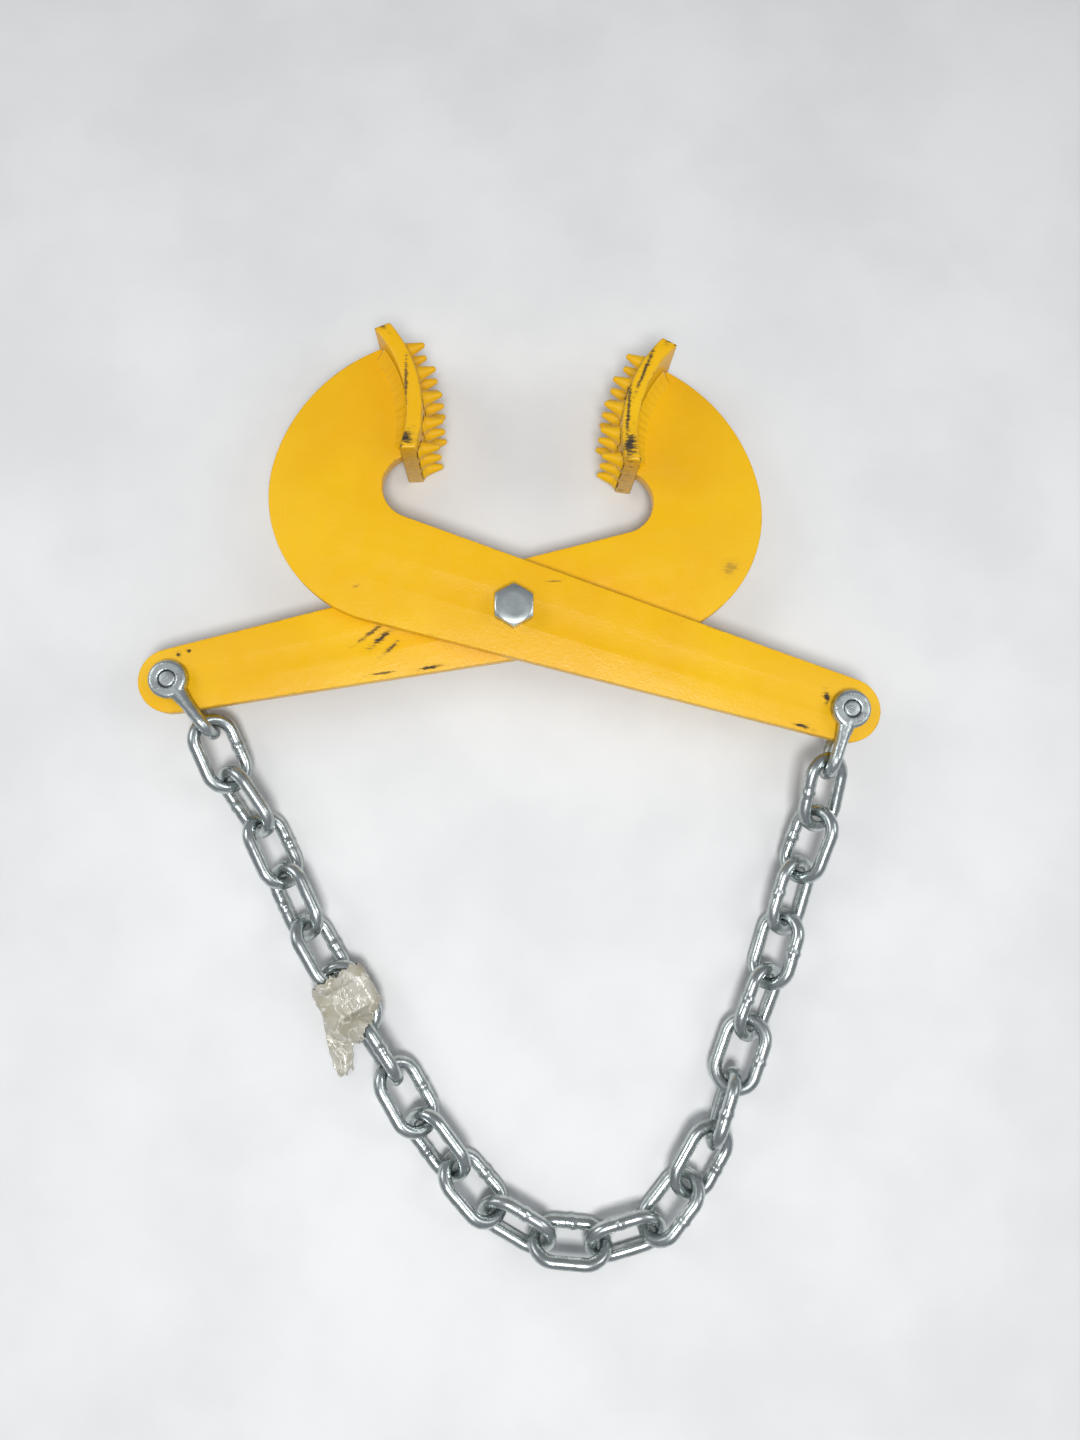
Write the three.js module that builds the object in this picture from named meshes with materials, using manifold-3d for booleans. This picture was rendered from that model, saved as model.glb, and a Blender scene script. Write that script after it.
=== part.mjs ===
// Pallet puller: two toothed scissor arms on a pivot bolt, drawn shut by a chain between their tails.
// Millimetres, +Z up. It lies flat on the floor at z = 0, the jaws towards +Y and the chain in a loop
// towards -Y. It is built about the pivot axis, then moved so that its origin is the middle of the
// floor that it covers.
import * as THREE from "three";
import { mergeVertices } from "three/addons/utils/BufferGeometryUtils.js";
import Module from "manifold-3d";

const wasm = await Module();
wasm.setup();

// Fits shared by the whole tool
const seatGap = 0.3; // between two pieces that rest against each other
const edgeBreak = 0.8; // painted edge of the arm plates

// Arm plate, measured from the pivot hole: the tail lies towards +X, the hook towards -X and +Y
const armThickness = 12;
const armLength = 265; // pivot axis to shackle pin axis
const armDroop = 14.45; // degrees that each tail lies below the X axis
const armGap = 0.4; // running gap between the two arms
const tailRadius = 24.5;
const throatX = 100;
const throatY = 68;
const throatRadius = 25;
const hookX = 109;
const hookY = 57.4;
const hookRadius = 99.2;
const hookBackRadius = 138.4; // easier curve from the back of the hook up to the jaw

// Curved jaw plate, an arc about a centre behind the hook
const jawFaceX = 103; // from the pivot to the face, level with the centre of its arc
const jawCentreY = 87;
const jawFaceRadius = 104;
const jawThickness = 12;
const jawHeight = 80;
const jawLowAngle = -2; // degrees
const jawHighAngle = 60; // degrees
const jawEndSkew = 2.5; // degrees by which the face stops short of the back at each end
const jawEdgeBreak = 1.4;

// Gripping teeth, cast on the face of the jaw plate
const toothLength = 15.5;
const toothRootRadius = 6.6;
const toothTipRadius = 2.5;
const toothEmbed = 4;
const toothColumns = 5;
const toothRows = 3;
const toothRowPitch = 22;
const toothFirstAngle = 3.5; // degrees, on the arc of the jaw face
const toothAnglePitch = 11; // degrees
const toothAim = 32; // degrees, the direction in which the middle teeth point
const toothFanShare = 0.33; // of the turn of the face that a tooth follows

// Fillet welds between arm and jaw plate
const weldLeg = 9;
const weldEndAngle = 3; // degrees that a bead stops short of the ends of its seat
const weldBulgeShare = 0.18;

// Pivot: hex bolt, washer and nut
const boltDiameter = 19.05;
const boltHoleClearance = 0.6; // on the diameter
const hexAcrossFlats = 28.6;
const boltHeadHeight = 12;
const hexChamfer = 1.4;
const hexTurn = 2; // degrees, where the head came to rest
const washerDiameter = 38;
const washerThickness = 3;
const nutHeight = 16.3;
const boltOverrun = 4; // thread showing past the nut
const threadChamfer = 1.2;

// Shackles: forged bow with two eyes, and a pin whose threaded end lies flush in the upper eye
const shackleWire = 9.5;
const shackleInside = 17; // between the eyes
const shackleReach = 50.5; // pin axis to the middle of the bow's wire
const shackleEyeRadius = 14.5;
const shackleEyeThickness = 9.5;
const eyeEdgeBreak = 2.2;
const pinDiameter = 12.7;
const pinHoleClearance = 0.6; // on the diameter, in the shackle's eyes
const armPinHoleClearance = 1.8; // on the diameter, in the arm's tail
const pinEndChamfer = 0.8;
const pinCollarRadius = 10.5;
const pinCollarThickness = 2.5;
const pinLugRadius = 9.5;
const pinLugThickness = 7;
const pinLugHoleRadius = 3.6;
const leftShackleHeading = -49.4; // degrees
const rightShackleHeading = -106; // degrees
const leftLugTurn = 24; // degrees
const rightLugTurn = -38; // degrees

// Chain of welded links
const chainWire = 10;
const linkInsideLength = 44;
const linkInsideWidth = 20.5;
const linkShift = 2; // how far one link can lie higher than the next
const linkSag = 1.5; // how far these two hang below the middle of the bow
const seamHeight = 0.7;
const seamHalfLength = 2.2;
const leftRiseShares = [1, 0.46, 0.13];
const rightRiseShares = [1, 0.55, 0.2, 0.05];

// Each link's heading as it lies, and its roll about that heading, both in degrees
const linkHeadings = [
  -65, -54, -62, -62, -57, -57, -54, -57, -50, -46, -28,
  -3, 18, 53, 62, 74, 72, 70, 75, 76, 74, 84,
];
const linkRolls = [
  -30, 52, -45, 40, -54, 6, 72, -34, 40, -38, 38,
  -42, 32, -48, 20, 88, -24, 44, -44, 38, -42, 30,
];

// Play at each contact along the chain, from the left bow to the right one: a link that lies
// aslant in the next, or at an angle to it, needs more room
const contactPlays = [
  1.5, 3.3, 0.2, 1.8, 1.5, 0.7, 4.4, 0.1, 2.2, 2.4, 1.2, 1.0,
  2.5, 0.1, 4.5, 2.1, 0.4, 5.5, 0.1, 1.1, 2.8, 0.1, 3.8,
];

// Packing tape wound tightly round one link and the ends of the two next to it
const tapedLink = 5; // counted from nought
const tapeThickness = 0.9; // several turns of film
const tapeClearance = 0.8; // between the film and the links inside it
const tapeLength = 46;
const tapeSlant = 24; // degrees, of its lower end
const tapeCrumple = 1.1;
const tapeTailWidth = 22;
const tapeTailLength = 46;
const tapeTailHeading = -83; // degrees
const tapeTailStart = 4; // along the link, past its middle
const tapeTailOffset = 13; // from the link's axis to the middle of the torn end
const tapeTailDrop = 9; // height at which the torn end leaves the wrap
const tapeTailRise = 2.6; // waves of the torn end above the floor
const tapeTearShare = 0.6; // of its width that the torn end loses
const tapeFoldsAround = 5; // radians of waving per radian, and along the torn end
const tapeFoldsAlong = 9; // radians of waving along the tape
const tapeSamples = 6; // places tried on each stretch of wire

// Worked out from the sizes above
const deg = Math.PI / 180;
const up = new THREE.Vector3(0, 0, 1);
const middleHeight = jawHeight / 2;
const upperArmTop = middleHeight + armGap / 2 + armThickness;
const lowerArmTop = middleHeight - armGap / 2;
const lowerArmBottom = lowerArmTop - armThickness;
const seatRadius = jawFaceRadius - jawThickness - seatGap;
const jawCentre = new THREE.Vector2(-(jawFaceX + jawFaceRadius), jawCentreY);
const throat = new THREE.Vector2(-throatX, throatY);
const hook = new THREE.Vector2(-hookX, hookY);
const hookBack = new THREE.Vector2(hookBackRadius - hookRadius - hookX, hookY);
const tail = new THREE.Vector2(armLength, 0);

const yellowPaint = [0xf2b705, 0.42, 0.0];
const zincPlate = [0x9ea3a4, 0.38, 0.85];
const galvanised = [0x9a9fa1, 0.34, 0.9];
const beigeFilm = [0xb9b29c, 0.3, 0.0];

// Solids

/** A closed three.js geometry as a solid that can be joined and cut. */
function solid(geometry) {
  const plain = geometry.index ? geometry.toNonIndexed() : geometry.clone();
  plain.deleteAttribute("normal");
  plain.deleteAttribute("uv");
  const merged = mergeVertices(plain, 1e-4);
  return new wasm.Manifold(
    new wasm.Mesh({
      numProp: 3,
      vertProperties: merged.attributes.position.array,
      triVerts: new Uint32Array(merged.index.array),
    }),
  );
}

/** A solid turned back into a geometry with flat faces. */
function geometryOf(made) {
  const mesh = made.getMesh();
  const geometry = new THREE.BufferGeometry();
  const places = new Float32Array(mesh.vertProperties);
  geometry.setAttribute("position", new THREE.BufferAttribute(places, 3));
  geometry.setIndex(new THREE.BufferAttribute(new Uint32Array(mesh.triVerts), 1));
  return geometry;
}

/** All the geometries joined into one solid. */
function join(first, ...others) {
  return others.reduce((whole, next) => whole.add(solid(next)), solid(first));
}

/** One named piece of the tool. */
function piece(name, geometry, [color, roughness, metalness]) {
  const material = new THREE.MeshStandardMaterial({ color, roughness, metalness });
  geometry.computeVertexNormals();
  const mesh = new THREE.Mesh(geometry, material);
  mesh.name = name;
  return mesh;
}

/** A shape pulled up from z = 0 to a height, its edges broken inside its outline. */
function slab(shape, height, broken, segments) {
  return new THREE.ExtrudeGeometry(shape, {
    depth: height - 2 * broken,
    bevelEnabled: broken > 0,
    bevelThickness: broken,
    bevelSize: broken,
    bevelOffset: -broken,
    bevelSegments: 1,
    curveSegments: segments,
  }).translate(0, 0, broken);
}

/** A round disc or pin about the Z axis from z = 0, both ends chamfered. */
function round(radius, height, chamfer, sides) {
  const profile = [
    new THREE.Vector2(0, 0),
    new THREE.Vector2(radius - chamfer, 0),
    new THREE.Vector2(radius, chamfer),
    new THREE.Vector2(radius, height - chamfer),
    new THREE.Vector2(radius - chamfer, height),
    new THREE.Vector2(0, height),
  ];
  return new THREE.LatheGeometry(profile, sides).rotateX(Math.PI / 2);
}

/** A straight round cutter through a plate that spans z = 0 to a height. */
function borer(radius, height, sides) {
  const overrun = radius;
  return new THREE.CylinderGeometry(radius, radius, height + 2 * overrun, sides)
    .rotateX(Math.PI / 2)
    .translate(0, 0, height / 2);
}

// Flat geometry of the arm's outline

/** Where two circles meet; side picks one of the two points. */
function circlesMeet(centreA, radiusA, centreB, radiusB, side) {
  const between = centreB.clone().sub(centreA);
  const apart = between.length();
  const along = (apart ** 2 + radiusA ** 2 - radiusB ** 2) / (2 * apart);
  const across = side * Math.sqrt(radiusA ** 2 - along ** 2);
  const forward = between.divideScalar(apart);
  const left = new THREE.Vector2(-forward.y, forward.x);
  return centreA.clone().addScaledVector(forward, along).addScaledVector(left, across);
}

/** Angle of a point as seen from a centre. */
function angleFrom(centre, point) {
  return Math.atan2(point.y - centre.y, point.x - centre.x);
}

/**
 * Direction from a centre to the point where a line touches its circle. The line touches a second
 * circle too: on the same side where radiusB is positive, across the line where it is negative.
 */
function touchAngle(centreA, radiusA, centreB, radiusB, side) {
  const between = centreB.clone().sub(centreA);
  return Math.atan2(between.y, between.x) + side * Math.acos((radiusA - radiusB) / between.length());
}

/** Outline of one arm: round tail, straight tapered bar, hook and the seat of the jaw plate. */
function armOutline() {
  const lowerTouch = touchAngle(tail, tailRadius, hook, hookRadius, 1);
  const upperTouch = touchAngle(tail, tailRadius, throat, -throatRadius, -1);
  const highCorner = circlesMeet(jawCentre, seatRadius, hookBack, hookBackRadius, 1);
  const lowCorner = circlesMeet(jawCentre, seatRadius, throat, throatRadius, 1);
  const outline = new THREE.Shape();
  outline.absarc(tail.x, tail.y, tailRadius, lowerTouch, upperTouch, false);
  outline.absarc(throat.x, throat.y, throatRadius, upperTouch + Math.PI, angleFrom(throat, lowCorner), true);
  outline.absarc(
    jawCentre.x, jawCentre.y, seatRadius,
    angleFrom(jawCentre, lowCorner), angleFrom(jawCentre, highCorner), false,
  );
  outline.absarc(hookBack.x, hookBack.y, hookBackRadius, angleFrom(hookBack, highCorner), Math.PI, false);
  outline.absarc(hook.x, hook.y, hookRadius, Math.PI, lowerTouch, false);
  return outline;
}

/** Arm plate with its pivot hole and pin hole, standing on z = 0. */
function armPlate() {
  const pivotHole = borer((boltDiameter + boltHoleClearance) / 2, armThickness, 32);
  const pinHole = borer((pinDiameter + armPinHoleClearance) / 2, armThickness, 24);
  const plate = solid(slab(armOutline(), armThickness, edgeBreak, 14));
  const bored = plate.subtract(solid(pivotHole));
  return geometryOf(bored.subtract(solid(pinHole.translate(armLength, 0, 0))));
}

/** Cross-section of the curved jaw plate between two angles. */
function jawSection() {
  const low = jawLowAngle * deg;
  const high = jawHighAngle * deg;
  const skew = jawEndSkew * deg;
  const section = new THREE.Shape();
  section.absarc(jawCentre.x, jawCentre.y, jawFaceRadius, low + skew, high - skew, false);
  section.absarc(jawCentre.x, jawCentre.y, jawFaceRadius - jawThickness, high, low, true);
  return section;
}

/** One tooth along +Z: a blunt cone with a rounded tip, its root sunk below z = 0. */
function tooth() {
  const taper = (toothRootRadius - toothTipRadius) / (toothLength - toothTipRadius);
  const roundFrom = toothLength - toothTipRadius;
  const shoulder = new THREE.Vector2(
    toothTipRadius * Math.SQRT1_2,
    roundFrom + toothTipRadius * Math.SQRT1_2,
  );
  const profile = [
    new THREE.Vector2(0, -toothEmbed),
    new THREE.Vector2(toothRootRadius + taper * toothEmbed, -toothEmbed),
    new THREE.Vector2(toothTipRadius, roundFrom),
    shoulder,
    new THREE.Vector2(0, toothLength),
  ];
  return new THREE.LatheGeometry(profile, 9).rotateX(Math.PI / 2);
}

/** The jaw plate with its grid of teeth, centred on z = 0. */
function jawPlate() {
  const plate = slab(jawSection(), jawHeight, jawEdgeBreak, 8).translate(0, 0, -jawHeight / 2);
  const middleColumn = (toothColumns - 1) / 2;
  const teeth = [];
  for (let column = 0; column < toothColumns; column++) {
    const seat = (toothFirstAngle + column * toothAnglePitch) * deg;
    const aim = (toothAim + toothFanShare * (column - middleColumn) * toothAnglePitch) * deg;
    for (let row = 0; row < toothRows; row++) {
      const height = (row - (toothRows - 1) / 2) * toothRowPitch;
      teeth.push(
        tooth()
          .rotateY(Math.PI / 2)
          .rotateZ(aim)
          .translate(
            jawCentre.x + jawFaceRadius * Math.cos(seat),
            jawCentre.y + jawFaceRadius * Math.sin(seat),
            height,
          ),
      );
    }
  }
  return geometryOf(join(plate, ...teeth));
}

/** Rings of points, each clockwise seen from the next, skinned into a closed tube or a closed loop. */
function skin(rings, closed) {
  const sides = rings[0].length;
  const places = rings.flat().flatMap((point) => [point.x, point.y, point.z]);
  const faces = [];
  const runs = closed ? rings.length : rings.length - 1;
  for (let k = 0; k < runs; k++) {
    const here = k * sides;
    const there = ((k + 1) % rings.length) * sides;
    for (let j = 0; j < sides; j++) {
      const next = (j + 1) % sides;
      faces.push(here + j, there + j, here + next, here + next, there + j, there + next);
    }
  }
  if (!closed) {
    const last = (rings.length - 1) * sides;
    for (let j = 1; j < sides - 1; j++) {
      faces.push(0, j, j + 1, last, last + j + 1, last + j);
    }
  }
  const geometry = new THREE.BufferGeometry();
  geometry.setAttribute("position", new THREE.Float32BufferAttribute(places, 3));
  geometry.setIndex(faces);
  return geometry;
}

/** Fillet weld in the corner between the back of the jaw plate and a face at z = 0, built upwards. */
function weldBead() {
  const highCorner = circlesMeet(jawCentre, seatRadius, hookBack, hookBackRadius, 1);
  const lowCorner = circlesMeet(jawCentre, seatRadius, throat, throatRadius, 1);
  const from = angleFrom(jawCentre, lowCorner) + weldEndAngle * deg;
  const to = angleFrom(jawCentre, highCorner) - weldEndAngle * deg;
  const steps = 14;
  const bulge = weldBulgeShare * weldLeg;
  const rings = [];
  for (let k = 0; k <= steps; k++) {
    const angle = from + ((to - from) * k) / steps;
    const place = (radius, z) => new THREE.Vector3(
      jawCentre.x + radius * Math.cos(angle),
      jawCentre.y + radius * Math.sin(angle),
      z,
    );
    rings.push([
      place(seatRadius, seatGap),
      place(seatRadius, seatGap + weldLeg),
      place(seatRadius - weldLeg / 2 - bulge / 2, seatGap + weldLeg / 2 + bulge / 2),
      place(seatRadius - weldLeg, seatGap),
    ]);
  }
  return skin(rings, false);
}

/** Both arms are this one assembly; the second lies flipped over beneath the first. */
function armAssembly(armName, side) {
  const assembly = new THREE.Group();
  const plate = piece(armName, armPlate(), yellowPaint);
  plate.position.z = armGap / 2;
  const jaw = piece(side + "_jaw_plate", jawPlate(), yellowPaint);
  const outerWeld = piece(side + "_jaw_weld_outer", weldBead(), yellowPaint);
  outerWeld.position.z = armGap / 2 + armThickness;
  const innerBead = weldBead();
  innerBead.scale(1, 1, -1);
  innerBead.setIndex(Array.from(innerBead.index.array).reverse());
  const innerWeld = piece(side + "_jaw_weld_inner", innerBead, yellowPaint);
  innerWeld.position.z = armGap / 2;
  assembly.add(plate, jaw, outerWeld, innerWeld);
  return assembly;
}

// Pivot hardware

/** Hexagon on z = 0 with its corners turned off in a cone at the chosen ends. */
function hexBody(height, chamferLow, chamferHigh) {
  const cornerRadius = hexAcrossFlats / 2 / Math.cos(30 * deg);
  const low = chamferLow ? hexChamfer : 0;
  const high = chamferHigh ? hexChamfer : 0;
  const reach = cornerRadius + hexChamfer;
  const profile = [
    new THREE.Vector2(0, 0),
    new THREE.Vector2(hexAcrossFlats / 2, 0),
    new THREE.Vector2(reach, low),
    new THREE.Vector2(reach, height - high),
    new THREE.Vector2(hexAcrossFlats / 2, height),
    new THREE.Vector2(0, height),
  ];
  if (!chamferLow) profile.splice(1, 2, new THREE.Vector2(reach, 0));
  if (!chamferHigh) profile.splice(-3, 2, new THREE.Vector2(reach, height));
  const turned = solid(new THREE.LatheGeometry(profile, 36).rotateX(Math.PI / 2));
  const hexagon = new THREE.CylinderGeometry(cornerRadius, cornerRadius, height, 6);
  return turned.intersect(solid(hexagon.rotateX(Math.PI / 2).translate(0, 0, height / 2)));
}

/** Bolt head down to its shank's end, nut and washer, on the pivot axis. */
function pivotHardware() {
  const hardware = new THREE.Group();
  const headBottom = upperArmTop + seatGap;
  const washerTop = lowerArmBottom - seatGap;
  const nutTop = washerTop - washerThickness - seatGap;
  const shankEnd = nutTop - nutHeight - boltOverrun;

  const shankLength = headBottom - shankEnd + edgeBreak;
  const shank = round(boltDiameter / 2, shankLength, threadChamfer, 32);
  const head = hexBody(boltHeadHeight, false, true);
  const bolt = piece(
    "pivot_bolt",
    geometryOf(head.add(solid(shank.translate(0, 0, shankEnd - headBottom)))),
    zincPlate,
  );
  bolt.position.z = headBottom;
  bolt.rotation.z = hexTurn * deg;

  const bore = (boltDiameter + boltHoleClearance) / 2;
  const ring = solid(round(washerDiameter / 2, washerThickness, edgeBreak / 2, 36));
  const washer = piece(
    "pivot_washer",
    geometryOf(ring.subtract(solid(borer(bore, washerThickness, 32)))),
    zincPlate,
  );
  washer.position.z = washerTop - washerThickness;

  const nut = piece(
    "pivot_nut",
    geometryOf(hexBody(nutHeight, true, true).subtract(solid(borer(bore, nutHeight, 32)))),
    zincPlate,
  );
  nut.position.z = nutTop - nutHeight;
  nut.rotation.z = (hexTurn + 360 / 12) * deg;
  hardware.add(bolt, washer, nut);
  return hardware;
}

// Shackles

/** Centre line of the bow: out along the upper leg, round the end and back along the lower one. */
class BowPath extends THREE.Curve {
  getPoint(t, target = new THREE.Vector3()) {
    const turn = (shackleInside + shackleWire) / 2;
    const leg = shackleReach - turn - shackleEyeRadius + shackleWire / 2;
    const start = shackleEyeRadius - shackleWire / 2;
    const arc = Math.PI * turn;
    const run = t * (2 * leg + arc);
    if (run < leg) return target.set(start + run, 0, turn);
    if (run > leg + arc) return target.set(start + 2 * leg + arc - run, 0, -turn);
    const angle = (run - leg) / turn;
    return target.set(start + leg + turn * Math.sin(angle), 0, turn * Math.cos(angle));
  }
}

/** Forged shackle about the pin axis, its bow towards +X. */
function shackleBody() {
  const wire = new THREE.Shape().absarc(0, 0, shackleWire / 2, 0, 2 * Math.PI, false);
  const bow = new THREE.ExtrudeGeometry(wire, {
    steps: 22, curveSegments: 5, bevelEnabled: false, extrudePath: new BowPath(),
  });
  const eye = () => round(shackleEyeRadius, shackleEyeThickness, eyeEdgeBreak, 24);
  const upperEye = eye().translate(0, 0, shackleInside / 2);
  const lowerEye = eye().translate(0, 0, -shackleInside / 2 - shackleEyeThickness);
  const height = shackleInside + 2 * shackleEyeThickness;
  const hole = borer((pinDiameter + pinHoleClearance) / 2, height, 24).translate(0, 0, -height / 2);
  return geometryOf(join(bow, upperEye, lowerEye).subtract(solid(hole)));
}

/** Screw pin about the same axis: flush end above, collar and pierced lug below. */
function shacklePin() {
  const top = shackleInside / 2 + shackleEyeThickness;
  const length = 2 * top + seatGap + pinCollarThickness / 2;
  const shank = round(pinDiameter / 2, length, pinEndChamfer, 24).translate(0, 0, top - length);
  const collar = round(pinCollarRadius, pinCollarThickness, edgeBreak, 24);
  const collarBottom = -top - seatGap - pinCollarThickness;
  const lugOutline = new THREE.Shape();
  lugOutline.moveTo(-pinLugRadius, pinCollarThickness / 2);
  lugOutline.absarc(0, 0, pinLugRadius, Math.PI, 2 * Math.PI, false);
  lugOutline.lineTo(pinLugRadius, pinCollarThickness / 2);
  const lug = slab(lugOutline, pinLugThickness, edgeBreak, 6)
    .translate(0, 0, -pinLugThickness / 2)
    .rotateX(Math.PI / 2)
    .translate(0, 0, collarBottom);
  const hole = borer(pinLugHoleRadius, pinLugThickness, 14)
    .translate(0, 0, -pinLugThickness / 2)
    .rotateX(Math.PI / 2)
    .translate(0, 0, collarBottom - pinLugRadius / 2);
  return geometryOf(
    join(shank, collar.translate(0, 0, collarBottom), lug).subtract(solid(hole)),
  );
}

/** A shackle with its pin on one tail, its upper eye resting on the arm. */
function shackle(side, tailPlace, armTop, heading, lugTurn) {
  const assembly = new THREE.Group();
  const body = piece(side + "_shackle", shackleBody(), galvanised);
  const pin = piece(side + "_shackle_pin", shacklePin(), galvanised);
  pin.rotation.z = lugTurn * deg;
  assembly.add(body, pin);
  assembly.position.set(tailPlace.x, tailPlace.y, armTop + seatGap - shackleInside / 2);
  assembly.rotation.z = heading * deg;
  return assembly;
}

/** Where a link bears in a shackle's bow. */
function bowContact(tailPlace, armTop, heading, play) {
  const reach = shackleReach - (shackleWire + play) / 2;
  return new THREE.Vector3(
    tailPlace.x + reach * Math.cos(heading * deg),
    tailPlace.y + reach * Math.sin(heading * deg),
    armTop + seatGap - shackleInside / 2 - linkSag,
  );
}

// Chain

/** Stations on a link's centre line: X, Y, the way it faces and the swell of its weld. */
function linkStations() {
  const bend = (linkInsideWidth + chainWire) / 2;
  const half = linkInsideLength / 2 + chainWire / 2 - bend;
  const bendSteps = 6;
  const stations = [];
  for (const end of [0, 1]) {
    const sign = end ? -1 : 1;
    for (let k = 0; k <= bendSteps; k++) {
      const angle = end * Math.PI - Math.PI / 2 + (Math.PI * k) / bendSteps;
      stations.push([sign * half + bend * Math.cos(angle), bend * Math.sin(angle), angle, 0]);
    }
    if (end) continue;
    for (const share of [1, 0, -1]) {
      stations.push([share * seamHalfLength, bend, Math.PI / 2, share ? 0 : seamHeight]);
    }
  }
  return stations;
}

/** One link about its own middle, lying in the XY plane along X, with the seam of its weld. */
function chainLink() {
  const sides = 8;
  const rings = linkStations().map(([x, y, angle, swell]) => {
    const radius = chainWire / 2 + swell;
    return Array.from({ length: sides }, (_, j) => {
      const turn = (2 * Math.PI * (j + 1 / 2)) / sides;
      const outward = radius * Math.cos(turn);
      return new THREE.Vector3(
        x + outward * Math.cos(angle),
        y + outward * Math.sin(angle),
        radius * Math.sin(turn),
      );
    });
  });
  return skin(rings, true);
}

/** Height of each link's middle: it lies on the floor, or as low as the next links let it. */
function linkHeights() {
  const bend = (linkInsideWidth + chainWire) / 2;
  const film = tapeClearance + tapeThickness + seatGap;
  const resting = linkRolls.map((roll, i) => {
    const underneath = (roll < 0 ? seamHeight : 0) + (Math.abs(i - tapedLink) > 1 ? 0 : film);
    return bend * Math.abs(Math.sin(roll * deg)) + chainWire / 2 + underneath;
  });
  return resting.map((_, i) => Math.max(...resting.map((rest, j) => rest - linkShift * Math.abs(i - j))));
}

/** How far each contact is lifted towards the shackles at the two ends. */
function contactRises(heights, start, end) {
  const count = heights.length;
  const startRise = start.z - heights[0];
  const endRise = end.z - heights[count - 1];
  return Array.from({ length: count + 1 }, (_, i) => (
    (leftRiseShares[i] ?? 0) * startRise + (rightRiseShares[count - i] ?? 0) * endRise
  ));
}

/** Contacts of the links in plan, from one bow to the other. */
function layChain(start, end, rises) {
  const count = linkHeadings.length;
  const walk = (turn, curl) => {
    const places = [new THREE.Vector2(start.x, start.y)];
    linkHeadings.forEach((heading, i) => {
      const share = (2 * i) / (count - 1) - 1;
      const angle = heading * deg + turn + curl * share;
      const spacing = linkInsideLength - (contactPlays[i] + contactPlays[i + 1]) / 2;
      const run = Math.sqrt(spacing ** 2 - (rises[i + 1] - rises[i]) ** 2);
      const step = new THREE.Vector2(run * Math.cos(angle), run * Math.sin(angle));
      places.push(step.add(places[i]));
    });
    return places;
  };
  // Two small corrections, found by Newton's method, bring the last contact to its bow
  const miss = (turn, curl) => walk(turn, curl)[count].sub(new THREE.Vector2(end.x, end.y));
  const nudge = 1e-4; // radians
  let turn = 0;
  let curl = 0;
  for (let pass = 0; pass < 20; pass++) {
    const off = miss(turn, curl);
    const byTurn = miss(turn + nudge, curl).sub(off).divideScalar(nudge);
    const byCurl = miss(turn, curl + nudge).sub(off).divideScalar(nudge);
    const area = byTurn.cross(byCurl);
    turn -= off.cross(byCurl) / area;
    curl -= byTurn.cross(off) / area;
  }
  return walk(turn, curl);
}

/** Where every link lies, from the left bow to the right one, with its length along X. */
function linkFrames(start, end) {
  const heights = linkHeights();
  const rises = contactRises(heights, start, end);
  const contacts = layChain(start, end, rises);
  return linkRolls.map((roll, i) => {
    const [from, to] = [contacts[i], contacts[i + 1]];
    const climb = rises[i + 1] - rises[i];
    const along = new THREE.Vector3(to.x - from.x, to.y - from.y, climb).normalize();
    const level = new THREE.Vector3().crossVectors(up, along).normalize();
    const over = new THREE.Vector3().crossVectors(along, level);
    const frame = new THREE.Matrix4().makeBasis(along, level, over);
    const height = heights[i] + rises[i] + climb / 2;
    frame.multiply(new THREE.Matrix4().makeRotationX(roll * deg));
    return frame.setPosition((from.x + to.x) / 2, (from.y + to.y) / 2, height);
  });
}

/** The whole chain, link by link. */
function chain(frames) {
  const links = new THREE.Group();
  frames.forEach((frame, i) => {
    const link = piece("chain_link_" + String(i + 1).padStart(2, "0"), chainLink(), galvanised);
    link.applyMatrix4(frame);
    links.add(link);
  });
  return links;
}

// Tape

/** Centre lines of the taped links as seen from the middle one, its length along X and level in Y. */
function tapedWires(frames) {
  const plain = new THREE.Matrix4().makeRotationX(-linkRolls[tapedLink] * deg);
  const seen = frames[tapedLink].clone().multiply(plain).invert();
  const stations = linkStations();
  return [-1, 0, 1].flatMap((step) => {
    const frame = seen.clone().multiply(frames[tapedLink + step]);
    return stations.flatMap(([x, y], k) => {
      const [nextX, nextY] = stations[(k + 1) % stations.length];
      return Array.from({ length: tapeSamples }, (_, n) => {
        const share = n / tapeSamples;
        const place = new THREE.Vector3(x + (nextX - x) * share, y + (nextY - y) * share, 0);
        return place.applyMatrix4(frame);
      });
    });
  });
}

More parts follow.
